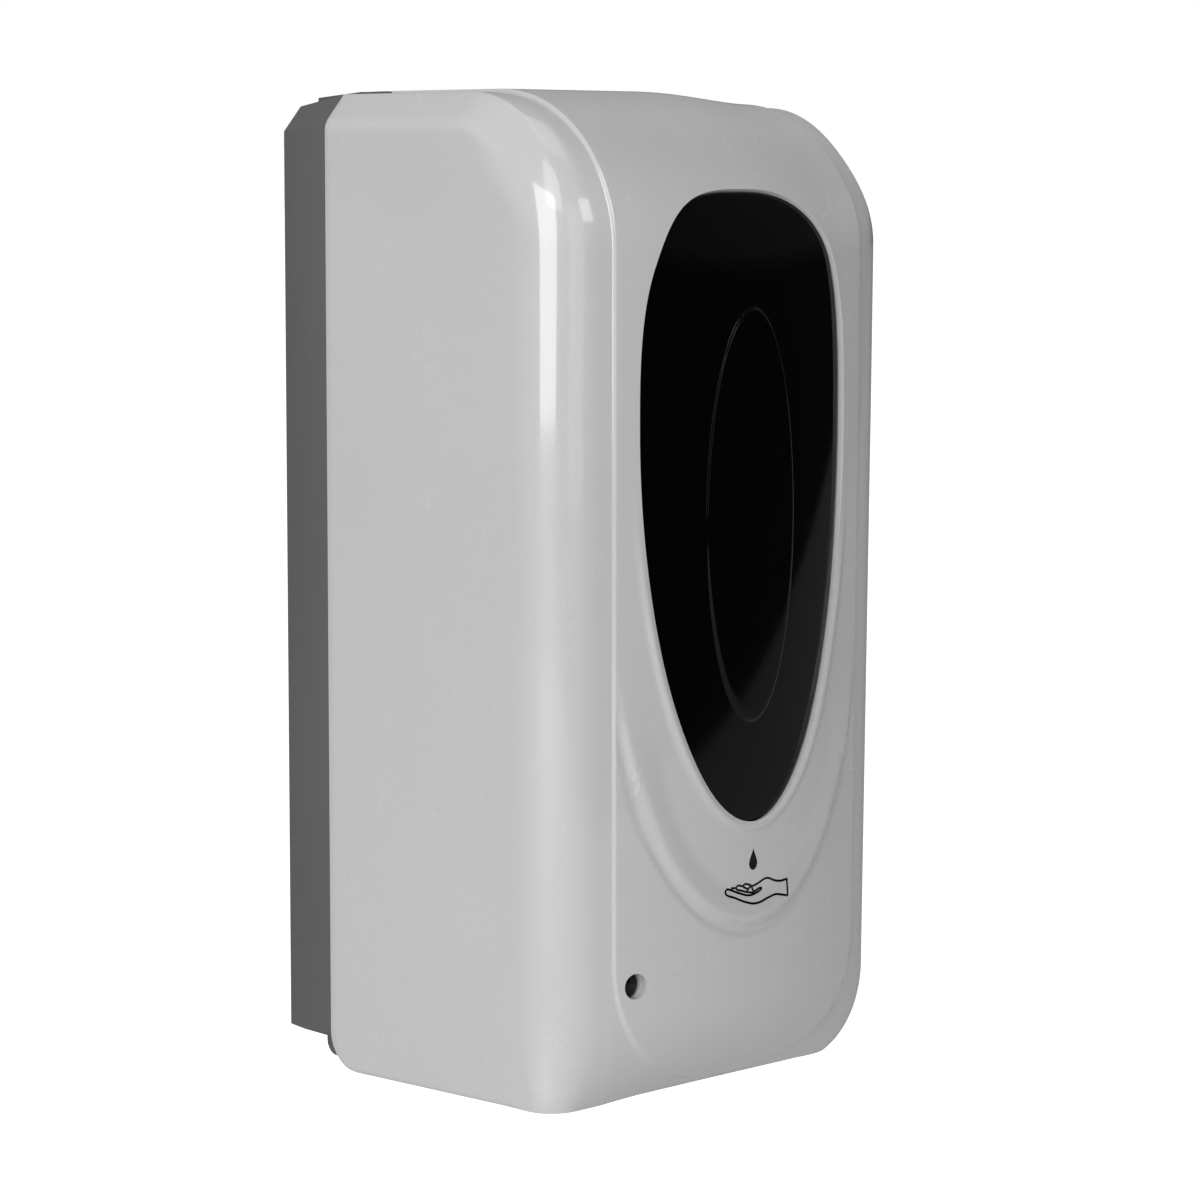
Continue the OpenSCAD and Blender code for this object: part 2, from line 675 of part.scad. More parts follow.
// Puts a piece that starts at z = 0 on a roller's axis, from the front of the carrier back
module roller_axis(a) {
    translate([rotor_x + orbit_r * cos(a), -87.7, axis_z + orbit_r * sin(a)])
        rotate([-90, 0, 0]) children();
}
module roller_pins() {
    color(steel) for (a = roller_angles) roller_axis(a) cylinder(h = 11.4, r = 1.2, $fn = 24);
}
module roller(a) {
    color(white) roller_axis(a) translate([0, 0, 1.8]) difference() {
        cylinder(h = 7.8, r = roller_r, $fn = 32);
        translate([0, 0, -1]) cylinder(h = 10, r = 1.2 + run_gap, $fn = 24);
    }
}
module roller_a() { roller(roller_angles[0]); }
module roller_b() { roller(roller_angles[1]); }
module roller_c() { roller(roller_angles[2]); }
module pump_tube() {
    top = axis_z + tube_wrap_r;
    low = axis_z - tube_wrap_r;
    flat = concat([[0, tube_top_z]],
        arc([-elbow_r, top + elbow_r], elbow_r, [0, -90], 6),
        [[(rotor_x - elbow_r) / 2, top]],
        arc([rotor_x, axis_z], tube_wrap_r, [90, 270], 18),
        [[(rotor_x - elbow_r) / 2, low]],
        arc([-elbow_r, low - elbow_r], elbow_r, [90, 0], 6));
    route = [for (p = concat(flat, [[0, nozzle_top_z]])) [p[0], tube_y, p[1]]];
    color([0.93, 0.9, 0.82]) sweep(route, tube_r, 12);
}
module inlet_spigot() {
    color(white) difference() {
        union() {
            rod_z(0, tube_y, [-63, -61.6], 11.5);
            rod_z(0, tube_y, [-62, -51], spigot_r);
            rod_z(0, tube_y, [tube_top_z, -62], tube_r, 32);
        }
        rod_z(0, tube_y, [-80, -40], 1.7, 32);
        translate([0, tube_y, -56.5]) rotate_extrude($fn = 64)
            translate([6.1, -0.95]) square([4, 1.9]);
    }
}
module outlet_seal() {
    color(black) translate([0, tube_y, -56.5]) rotate_extrude($fn = 64)
        translate([7.04, 0]) circle(r = 0.9, $fn = 24);
}
module nozzle() {
    color(clear) difference() {
        union() {
            rod_z(0, tube_y, [floor_z[1], nozzle_top_z], tube_r, 32);
            rod_z(0, tube_y, [floor_z[1], floor_z[1] + 2.5], 7.5);
            rod_z(0, tube_y, [floor_z[0] - 2, floor_z[1] + 1], 5, 32);
            rod_z(0, tube_y, [nozzle_tip_z, floor_z[0]], 3.6, 32);
        }
        rod_z(0, tube_y, [-140, -110], 1.7, 32);
    }
}

// ---------- sensor and electronics ----------
module nozzle_shroud() {
    x = [-26, 26];
    y = [-97, -66];
    z = [-133, floor_z[0]];
    color(case_grey) difference() {
        box(x, y, z);
        box([x[0] + 2, x[1] - 2], [y[0] + 2, y[1] - 2], [z[0] + 2, z[1] + 1]);
        rod_z(0, tube_y, [-140, -120], 6, 48);
        for (s = [-sensor_x, sensor_x])
            box([s - 6.5, s + 6.5], [tube_y - 4.5, tube_y + 4.5], [-140, -125]);
    }
}
module sensor_windows() {
    color(black) for (s = [-sensor_x, sensor_x])
        box([s - 6.5, s + 6.5], [tube_y - 4.5, tube_y + 4.5], [-132.8, -131.2]);
}
module small_lamp(x) {
    union() {
        rod_z(x, tube_y, [-126, -118], 2.5, 32);
        translate([x, tube_y, -126]) sphere(r = 2.5, $fn = 32);
    }
}
module ir_emitter() { color(clear) small_lamp(-sensor_x); }
module ir_receiver() { color(black) small_lamp(sensor_x); }
module control_board() {
    color([0.05, 0.35, 0.15]) difference() {
        box([-38, 38], board_y, [-117, -57]);
        for (x = [-board_x, board_x], z = board_z) rod_y(x, z, [-30, -20], 1.3, 24);
    }
}
module board_chips() {
    color(black) for (c = [[-20, -98, 9, 9, 1.8], [-22, -76, 12, 6, 1.6], [-4, -66, 6, 10, 2],
                           [16, -66, 14, 5, 2.4], [-6, -108, 8, 5, 1.6]])
        box([c[0] - c[2] / 2, c[0] + c[2] / 2], [board_y[0] - c[4], board_y[0]],
            [c[1] - c[3] / 2, c[1] + c[3] / 2]);
}
module board_screws() {
    color(steel) for (x = [-board_x, board_x], z = board_z) screw(x, z, board_y[0] - 1.8, 8);
}
module indicator_led() {
    color([0.9, 0.2, 0.15]) union() {
        rod_y(led_x, led_z, [-101.5, -95], 2.5, 32);
        translate([led_x, -101.5, led_z]) sphere(r = 2.5, $fn = 32);
    }
}

// ---------- batteries ----------
cell_x = [for (i = [0:3]) (i - 1.5) * cell_pitch];
function nub_up(i) = i % 2 == 0;
module battery_holder() {
    z = [contact_z[0] - 2, contact_z[1] + 2];
    color(black) union() {
        difference() {
            box([-35.2, 35.2], [-case_depth, -plate_t], z);
            box([-30.2, 30.2], [-case_depth - 1, -3.8], [z[0] + 1.5, z[1] - 1.5]);
        }
        // rails for the sliding door
        both_sides() prism_z(z, [[33.2, -case_depth + eps], [35.2, -case_depth + eps], [35.2, -22],
            [31.5, -22], [31.5, -20.6], [33.2, -20.6]]);
    }
}
module batteries() {
    color([0.75, 0.6, 0.2]) for (i = [0:3]) {
        low = nub_up(i) ? contact_z[0] + spring_h : contact_z[0] + cell_nub;
        nub = nub_up(i) ? [low + cell_len - eps, contact_z[1]] : [contact_z[0], low + eps];
        union() {
            rod_z(cell_x[i], cell_y, [low, low + cell_len], cell_r);
            rod_z(cell_x[i], cell_y, nub, 2.7, 24);
        }
    }
}
module battery_contacts() {
    color(steel) for (i = [0:3], z = [contact_z[0] - 0.5, contact_z[1]])
        box([cell_x[i] - 5.5, cell_x[i] + 5.5], [cell_y - 5.5, cell_y + 5.5], [z, z + 0.5]);
}
module battery_springs() {
    turns = 3;
    steps = 12;
    wire = 0.35;
    color(steel) for (i = [0:3]) {
        z0 = nub_up(i) ? contact_z[0] : contact_z[1] - spring_h;
        sweep([for (k = [0:turns * steps])
            let (a = 360 * k / steps,
                 f = k / turns / steps,
                 r = nub_up(i) ? 4.6 - 2 * f : 2.6 + 2 * f)
            [cell_x[i] + r * cos(a), cell_y + r * sin(a),
             z0 + 2 * wire + (spring_h - 4 * wire) * f]], wire, 6);
    }
}
module battery_door() {
    color(case_grey) union() {
        box([-32.9, 32.9], [-20.2, -case_depth - gap], [6, 70]);
        for (z = [58:2.5:65.5]) box([-12, 12], [-21, -20.1], [z, z + 1]);
    }
}

// ---------- controls ----------
module switch_frame() {
    color(black) difference() {
        box([rocker[0] - 7.5, rocker[0] + 7.5], [-101, -90.5], [rocker[2] - 8, rocker[2] + 8]);
        rod_x(rocker[1], rocker[2], [rocker[0] - 4.8, rocker[0] + 4.8], rocker_r + gap);
        rod_x(rocker[1], rocker[2], [rocker[0] - 6.5, rocker[0] + 6.5], 1.2 + run_gap, 24);
    }
}
module power_rocker() {
    tilt = 10;
    valley = 3.5;
    rise = 1.6;
    color(black) translate(rocker) rotate([-tilt, 0, 0]) union() {
        intersection() {
            rod_x(0, 0, [-4.5, 4.5], rocker_r);
            prism_x([-10, 10], [[8, -8], [8, 8], [-valley - rise, 8], [-valley, 0], [-valley - rise, -8]]);
        }
        rod_x(0, 0, [-6.2, 6.2], 1.2, 24);
    }
}
module dose_switch_body() {
    color(black) difference() {
        box([slider_x - 6, slider_x + 6], [-97, -92], [slider_z - 5.7, slider_z + 11.7]);
        box([slider_x - 4.3, slider_x + 4.3], [-98, -94], [slider_z - 3.5, slider_z + 9.5]);
    }
}
module dose_slider() {
    color(white) union() {
        box([slider_x - 4, slider_x + 4], [-96.6, -95.2], [slider_z - 3, slider_z + 3]);
        box([slider_x - 1.5, slider_x + 1.5], [-101.5, -96.5], [slider_z - 2, slider_z + 2]);
    }
}

// ---------- reservoir ----------
module tank_form(s) {
    x = [-tank_half + s, tank_half - s];
    y = [tank_y[0] + s, tank_y[1] - s];
    z = [tank_z[0] + s, tank_z[1] - s];
    shoulder = 16 - s;
    foot = 4 - s;
    intersection() {
        prism_z(z, rounded(x, y, 13 - s));
        prism_y(y, concat(arc([x[1] - shoulder, z[1] - shoulder], shoulder, [0, 90], 6),
            arc([x[0] + shoulder, z[1] - shoulder], shoulder, [90, 180], 6),
            arc([x[0] + foot, z[0] + foot], foot, [180, 270], 3),
            arc([x[1] - foot, z[0] + foot], foot, [270, 360], 3)));
        prism_x(x, concat(arc([y[1] - shoulder, z[1] - shoulder], shoulder, [0, 90], 6),
            arc([y[0] + shoulder, z[1] - shoulder], shoulder, [90, 180], 6),
            arc([y[0] + foot, z[0] + foot], foot, [180, 270], 3),
            arc([y[1] - foot, z[0] + foot], foot, [270, 360], 3)));
    }
}
module reservoir() {
    color(clear) difference() {
        union() {
            tank_form(0);
            rod_z(0, tube_y, [-61, tank_z[0] + 1], socket_r - 1);
        }
        tank_form(tank_wall);
        rod_z(0, neck_y, [80, 100], neck_r - 1.8);
        rod_z(0, tube_y, [-70, -40], spigot_r + 0.1);
    }
}
module filler_neck() {
    color(clear) difference() {
        union() {
            rod_z(0, neck_y, [tank_z[1], neck_z], neck_r);
            both_sides() {
                rod_x(lid_hinge_y, lid_hinge_z, [6, 9], 2.6, 32);
                box([6, 9], [lid_hinge_y - 6, lid_hinge_y + 2.6], [tank_z[1], lid_hinge_z - 1.5]);
                box([6, 9], [lid_hinge_y - 2.6, lid_hinge_y + 2.6], [tank_z[1], lid_hinge_z]);
            }
        }
        rod_z(0, neck_y, [80, 100], neck_r - 1.8);
        rod_x(lid_hinge_y, lid_hinge_z, [-10, 10], 1, 24);
    }
}
module filler_lid() {
    z = [neck_z + gap, 98];
    color(case_grey) difference() {
        union() {
            rod_z(0, neck_y, z, 14);
            box([-5.5, 5.5], [-54, lid_hinge_y], z);
            rod_x(lid_hinge_y, lid_hinge_z, [-5.6, 5.6], 2.4, 32);
            box([-4, 4], [-82.5, -78], z);
        }
        rod_x(lid_hinge_y, lid_hinge_z, [-10, 10], 1 + run_gap, 24);
    }
}
module lid_seal() {
    color([0.8, 0.82, 0.84]) difference() {
        rod_z(0, neck_y, [92.5, neck_z + gap], 10.7);
        rod_z(0, neck_y, [92, 96], 8.5);
    }
}
module lid_pin() {
    color(steel) rod_x(lid_hinge_y, lid_hinge_z, [-9, 9], 1, 24);
}

back_case();
hinge_pins();
lock_barrel();
chassis();
chassis_screws();
shaft_bush();
idler_pin();
motor_can();
motor_cap();
pump_housing();
pump_cover();
pump_screws();
pump_tube();
inlet_spigot();
outlet_seal();
nozzle();
nozzle_shroud();
sensor_windows();
ir_emitter();
ir_receiver();
control_board();
board_chips();
board_screws();
battery_holder();
batteries();
battery_contacts();
battery_springs();
service_panel();
panel_screws();
switch_frame();
dose_switch_body();
indicator_led();
front_cover();
cover_catch();
window();
indicator_lens();
lock_plug();
lock_cam();
cam_nut();
reservoir();
filler_neck();
filler_lid();
lid_seal();
lid_pin();
rotor_gear();
rotor_shaft();
roller_carrier();
roller_pins();
roller_a();
roller_b();
roller_c();
idler_gear();
motor_shaft();
motor_pinion();
battery_door();
power_rocker();
dose_slider();
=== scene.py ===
import json
import math

import bmesh
import bpy
import numpy as np
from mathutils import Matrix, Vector


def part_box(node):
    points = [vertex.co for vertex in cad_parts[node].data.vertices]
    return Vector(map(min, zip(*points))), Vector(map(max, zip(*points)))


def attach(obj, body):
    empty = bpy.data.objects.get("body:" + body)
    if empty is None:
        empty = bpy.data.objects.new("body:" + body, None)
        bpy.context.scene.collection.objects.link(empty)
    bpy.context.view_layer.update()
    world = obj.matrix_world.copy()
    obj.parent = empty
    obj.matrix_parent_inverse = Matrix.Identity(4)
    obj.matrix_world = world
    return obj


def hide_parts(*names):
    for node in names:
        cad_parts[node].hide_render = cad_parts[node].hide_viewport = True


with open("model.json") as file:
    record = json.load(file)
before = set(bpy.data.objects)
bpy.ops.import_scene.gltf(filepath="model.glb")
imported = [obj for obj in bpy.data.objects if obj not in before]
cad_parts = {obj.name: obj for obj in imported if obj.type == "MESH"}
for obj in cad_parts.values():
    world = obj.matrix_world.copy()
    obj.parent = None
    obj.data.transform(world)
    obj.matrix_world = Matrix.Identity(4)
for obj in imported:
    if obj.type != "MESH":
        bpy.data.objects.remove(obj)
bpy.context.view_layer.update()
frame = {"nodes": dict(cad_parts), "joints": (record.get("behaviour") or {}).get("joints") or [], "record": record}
MM = 0.001


def mm_box(node):
    lo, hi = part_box(node)
    return np.array(lo) / MM, np.array(hi) / MM


# ------------------------------------------------------------------ sizes in mm, overall from the CAD
cover_lo, cover_hi = mm_box("front_cover")
HALF_W = cover_hi[0]
DEPTH = -cover_lo[1]
REAR_Y = cover_hi[1]
BAND_TOP = cover_hi[2]
BOTTOM = cover_lo[2]
STEP = 0.9                      # the middle panel stands this far proud
TOP = BAND_TOP - STEP
WALL = 2.5
CROWN_R = 183.0                 # front, seen from above
BROW_Y = -68.5                  # where the top starts to turn down into the brow
BROW_MID, BROW_SIDE = 50.0, 41.5
FRONT_END_Z = -95.0             # the straight rows of the front end here
CHIN_Z, CHIN_R = BOTTOM + 25.0, 31.0
CHIN_END_Y = -104.7
FILLET_X = 52.2                 # where the side edges start to turn

# the raised panel, the swelling round the window and the lip under it
PANEL = 47.8                    # half width
PANEL_SLOPE = 0.36              # half width of the slope at its edge
FOOT_Z, FOOT_LONG, FOOT_POWER = -95.0, 37.4, 2.3    # rounded foot of the panel
RIM, RIM_OFF, RIM_SPREAD = 0.55, 1.5, 1.25
RIM_FADE = (35, -10)            # heights between which it comes in
LIP, LIP_SLOPE = 0.95, 1.35
LIP_A, LIP_B, LIP_Z = 46.5, 78.8, -10.0             # the oval it follows
LIP_FADE, LEAN_FADE = (-14, -50), (-30, -80)
LIP_INNER, LIP_INNER_WIDE = 0.7, 9  # how far it has sunk again this far inside the oval
GROOVE, GROOVE_OFF, GROOVE_SPREAD = 0.3, 2.4, 1.1   # hollow outside the lip, as a share of it

# corners: cut or filled at the bottom, lowered and filled out on the right
DIAGONAL = 0.7
CORNER_TOP = -110.0
CORNER_CUT, CUT_REACH = 14.0, 15.0
CORNER_FILL, FILL_REACH = 2.6, 10.0
SHOULDER_DROP = 3.0
SHOULDER_X, SHOULDER_Y, SHOULDER_Z = (3, 50), (28, 64), (88, 122)
EDGE_FULL = 1.61
EDGE_X, EDGE_Y = (34, 58), (50, 68)
EDGE_LOW, EDGE_LONG = -118, 210
EDGE_TOP_SHARE, EDGE_TOP_Z = 0.7, (96, 128)
BOTTOM_R_FRONT, BOTTOM_R_SIDE = 1.2, 2.3

hinge = [j for j in frame["joints"] if j["name"] == "cover_hinge"][0]
HINGE_Y, HINGE_Z = hinge["pos_m"][1] / MM, hinge["pos_m"][2] / MM
HEEL_R = HINGE_Z - BOTTOM
NOTCH_X, NOTCH_Y = 50.4, -26.6
FLOOR_REAR_Y = -41.5            # the cover's bottom wall ends here
MOUTH_X, MOUTH_Y = 34.0, -99.0  # opening in the bottom wall

FLANGE = 3.0
FLANGE_FRONT, FLANGE_BACK = -2.3, -3.3
WIN_A = mm_box("window")[1][0] - FLANGE
WIN_MID, WIN_UP = 46.0, 62.0
WIN_DOWN = 107.5
WIN_SINK = 1.4
OVAL_A, OVAL_B, OVAL_Z = 17.3, 55.5, 21.3
OVAL_LIFT = 0.62
lens_lo, lens_hi = mm_box("indicator_lens")
LED_X, LED_Z = (lens_lo[0] + lens_hi[0]) / 2, (lens_lo[2] + lens_hi[2]) / 2
LED_R = (lens_hi[0] - lens_lo[0]) / 2 + 0.25
LED_DEEP = 2.5


# ------------------------------------------------------------------ small maths
def smooth(e0, e1, v):
    t = np.clip((v - e0) / (e1 - e0), 0, 1)
    return t * t * (3 - 2 * t)


def lerp(a, b, t):
    return a + (b - a) * t


def bell(v, middle, spread):
    return np.exp(-((v - middle) / spread) ** 2)


# ------------------------------------------------------------------ the cover's outer surface
def front_y(x):
    return -(DEPTH - STEP) + CROWN_R - np.sqrt(CROWN_R ** 2 - np.asarray(x, float) ** 2)


def brow_b(x):
    t = np.clip(np.abs(x) / PANEL, 0, 1)
    return BROW_MID - (BROW_MID - BROW_SIDE) * t * t


def chin_y(x, z):
    turn = np.arcsin(np.clip((CHIN_Z - z) / CHIN_R, 0, 1))
    end = math.asin((CHIN_Z - BOTTOM) / CHIN_R)
    k = (1 - np.cos(turn)) / (1 - math.cos(end))
    return front_y(x) + (CHIN_END_Y - front_y(x)) * k


def base_y(x, z):
    """Depth of the plain surface at x and z, for everything below the flat top."""
    b = brow_b(x)
    zc = TOP - b
    rise = np.clip((z - zc) / b, 0, 0.9999)
    brow = BROW_Y - (BROW_Y - front_y(x)) * np.sqrt(1 - rise ** 2)
    return np.where(z > zc, brow, np.where(z < CHIN_Z, chin_y(x, z), front_y(x)))


def base_normal(x, z):
    h = 0.05
    gx = (base_y(x + h, z) - base_y(x - h, z)) / (2 * h)
    gz = (base_y(x, z + h) - base_y(x, z - h)) / (2 * h)
    n = np.stack([gx, -np.ones_like(gx), gz], -1)
    return n / np.linalg.norm(n, axis=-1, keepdims=True)


def oval_distance(x, z, a, b, n=2.0):
    """Rough distance outside a superellipse centred on the origin, in mm."""
    ax, az = np.abs(x) / a + 1e-9, np.abs(z) / b + 1e-9
    f = (ax ** n + az ** n) ** (1 / n)
    g = np.sqrt((ax ** (n - 1) / a) ** 2 + (az ** (n - 1) / b) ** 2) * f ** (1 - n)
    return (f - 1) / np.maximum(g, 1e-6)


def relief(x, z):
    """How far the finished surface stands out from the plain one."""
    foot = oval_distance(x, np.minimum(z - FOOT_Z, 0), PANEL, FOOT_LONG, FOOT_POWER)
    edge = np.where(z > FOOT_Z, np.abs(x) - PANEL, foot)
    panel = STEP * (1 - smooth(-PANEL_SLOPE, PANEL_SLOPE, edge))
    rim = oval_distance(x, np.minimum(z - WIN_MID, 0), WIN_A, WIN_DOWN)
    rim = RIM * bell(rim, RIM_OFF, RIM_SPREAD) * smooth(*RIM_FADE, z)
    lip = oval_distance(x, np.minimum(z - LIP_Z, 0), LIP_A, LIP_B)
    outside = 1 - smooth(-0.1, LIP_SLOPE, lip) - GROOVE * bell(lip, GROOVE_OFF, GROOVE_SPREAD)
    inside = 1 - LIP_INNER * smooth(0, LIP_INNER_WIDE, -lip)
    lip = LIP * np.where(lip > 0, outside, inside) * smooth(*LIP_FADE, z)
    lean = LIP * smooth(*LEAN_FADE, z) * (1 - np.clip(np.abs(x) / PANEL, 0, 1) ** 2)
    return panel + rim + lip - lean


def surface(x, z, lift=0.0):
    """Point of the finished front at x and z, in mm, raised by lift."""
    x, z = np.asarray(x, float), np.asarray(z, float)
    p = np.stack([x, base_y(x, z), z], -1)
    return p + base_normal(x, z) * (relief(x, z) + lift)[..., None]


def window_scale(x, z):
    """How many times the vector (x, z) from the window's middle fits inside its outline."""
    up = z > 0
    n = np.where(up, 3.0, 2.0)
    b = np.where(up, WIN_UP, WIN_DOWN)
    return 1 / ((np.abs(x) / WIN_A) ** n + (np.abs(z) / b) ** n) ** (1 / n)


def settle(p):
    """Turn the bottom right corner under, keep the left one square, round the right shoulder."""
    drop = np.clip((CORNER_TOP - p[2]) / (CORNER_TOP - BOTTOM), 0, 1)
    roll = 1 - math.sqrt(1 - drop ** 2)
    q = p.copy()
    for side, amount, reach in ((1, CORNER_CUT, CUT_REACH), (-1, -CORNER_FILL, FILL_REACH)):
        r2 = (q[0] - side * HALF_W) ** 2 + (q[1] - CHIN_END_Y) ** 2
        d = amount * roll * math.exp(-r2 / reach ** 2)
        q += np.array([-DIAGONAL * side * d, DIAGONAL * d, 0])
    right_front = smooth(*SHOULDER_X, q[0]) * smooth(*SHOULDER_Y, -q[1])
    q[2] -= SHOULDER_DROP * right_front * smooth(*SHOULDER_Z, q[2])
    if q[0] < 0:
        plain = float(base_y(q[0], np.clip(p[2], BOTTOM, TOP)))
        return np.array([max(q[0], -HALF_W), max(q[1], min(p[1], plain)), q[2]])
    full = EDGE_FULL * smooth(*EDGE_X, q[0]) * smooth(*EDGE_Y, -q[1])
    full *= np.clip((q[2] - EDGE_LOW) / EDGE_LONG, 0, 1)
    full *= 1 - EDGE_TOP_SHARE * smooth(*EDGE_TOP_Z, q[2])
    return np.array([min(q[0] + full, HALF_W), q[1] - full, q[2]])


# ------------------------------------------------------------------ mesh building
def make_mesh(name, verts, faces):
    """Object from vertices in mm and faces of vertex numbers."""
    me = bpy.data.meshes.new(name)
    points = [tuple(float(c) * MM for c in v) for v in verts]
    me.from_pydata(points, [], [tuple(map(int, f)) for f in faces])
    me.validate()
    ob = bpy.data.objects.new(name, me)
    bpy.context.scene.collection.objects.link(ob)
    return ob


def finish_shading(me, sharp_angle):
    me.polygons.foreach_set("use_smooth", [True] * len(me.polygons))
    me.set_sharp_from_angle(angle=math.radians(sharp_angle))


def face_outwards(ob):
    bm = bmesh.new()
    bm.from_mesh(ob.data)
    bmesh.ops.recalc_face_normals(bm, faces=bm.faces)
    bm.to_mesh(ob.data)
    bm.free()


def apply_modifiers(ob):
    dg = bpy.context.evaluated_depsgraph_get()
    me = bpy.data.meshes.new_from_object(ob.evaluated_get(dg))
    old = ob.data
    ob.modifiers.clear()
    ob.data = me
    bpy.data.meshes.remove(old)


def add_bevel(ob, width, angle):
    m = ob.modifiers.new("bevel", "BEVEL")
    m.width = width * MM
    m.segments = 2
    m.limit_method = "ANGLE"
    m.angle_limit = math.radians(angle)
    m.harden_normals = False


# ------------------------------------------------------------------ materials
TONE_SCALE, SMUDGE_SCALE, PEEL_SCALE = 14, 55, 320      # features per metre
COAT_ROUGH, COAT_IOR = 0.07, 1.65
SCATTER = 0.002


def new_material(name):
    m = bpy.data.materials.new(name)
    m.use_nodes = True
    nt = m.node_tree
    return m, nt, nt.nodes["Principled BSDF"]


def noise(nt, scale, detail=3.0, rough=0.5, stretch=(1, 1, 1)):
    """Noise over the object's own coordinates, scale in features per metre."""
    tc = nt.nodes.new("ShaderNodeTexCoord")
    mp = nt.nodes.new("ShaderNodeMapping")
    mp.inputs["Scale"].default_value = stretch
    nt.links.new(tc.outputs["Object"], mp.inputs["Vector"])
    n = nt.nodes.new("ShaderNodeTexNoise")
    n.inputs["Scale"].default_value = scale
    n.inputs["Detail"].default_value = detail
    n.inputs["Roughness"].default_value = rough
    nt.links.new(mp.outputs["Vector"], n.inputs["Vector"])
    return n.outputs["Fac"]


def ramp(nt, fac, stops):
    r = nt.nodes.new("ShaderNodeValToRGB")
    els = r.color_ramp.elements
    while len(els) < len(stops):
        els.new(0.5)
    for e, (p, c) in zip(els, stops):
        e.position = p
        e.color = (*c, 1)
    nt.links.new(fac, r.inputs["Fac"])
    return r.outputs["Color"]


def to_range(nt, fac, lo, hi, f0=0.3, f1=0.7):
    r = nt.nodes.new("ShaderNodeMapRange")
    r.inputs["From Min"].default_value = f0
    r.inputs["From Max"].default_value = f1
    r.inputs["To Min"].default_value = lo
    r.inputs["To Max"].default_value = hi
    nt.links.new(fac, r.inputs["Value"])
    return r.outputs["Result"]


def bump(nt, height, distance, normal=None):
    b = nt.nodes.new("ShaderNodeBump")
    b.inputs["Strength"].default_value = 1.0
    b.inputs["Distance"].default_value = distance
    nt.links.new(height, b.inputs["Height"])
    if normal is not None:
        nt.links.new(normal, b.inputs["Normal"])
    return b.outputs["Normal"]


def plastic(name, color, rough, spread=0.03, grain=2500, grain_depth=0.00002, peel=0.0, coat=0.0,
            rough_spread=0.05, specular=0.5, transmission=0.0, ior=1.46, metallic=0.0,
            stretch=(1, 1, 1), sss=0.0):
    """Slightly uneven colour and gloss over a fine grain; serves for the metals as well."""
    m, nt, bsdf = new_material(name)
    tone = noise(nt, TONE_SCALE, 4, 0.6)
    c = np.array(color)
    tones = [(0.3, np.clip(c * (1 - spread), 0, 1)), (0.7, np.clip(c * (1 + spread), 0, 1))]
    nt.links.new(ramp(nt, tone, tones), bsdf.inputs["Base Color"])
    fine = noise(nt, grain, 2, 0.6, stretch=stretch)
    smudge = noise(nt, SMUDGE_SCALE, 5, 0.65)
    mix = nt.nodes.new("ShaderNodeMath")
    mix.operation = "ADD"
    nt.links.new(to_range(nt, fine, -rough_spread / 2, rough_spread / 2), mix.inputs[0])
    nt.links.new(to_range(nt, smudge, rough - rough_spread / 2, rough + rough_spread), mix.inputs[1])
    nt.links.new(mix.outputs[0], bsdf.inputs["Roughness"])
    normal = bump(nt, fine, grain_depth)
    if peel:
        normal = bump(nt, noise(nt, PEEL_SCALE, 2, 0.5), peel, normal=normal)
    nt.links.new(normal, bsdf.inputs["Normal"])
    bsdf.inputs["Coat Weight"].default_value = coat
    bsdf.inputs["Coat Roughness"].default_value = COAT_ROUGH
    bsdf.inputs["Coat IOR"].default_value = COAT_IOR
    bsdf.inputs["Specular IOR Level"].default_value = specular
    bsdf.inputs["IOR"].default_value = ior
    bsdf.inputs["Metallic"].default_value = metallic
    bsdf.inputs["Transmission Weight"].default_value = transmission
    if sss:
        bsdf.inputs["Subsurface Weight"].default_value = sss
        bsdf.inputs["Subsurface Scale"].default_value = SCATTER
    return m


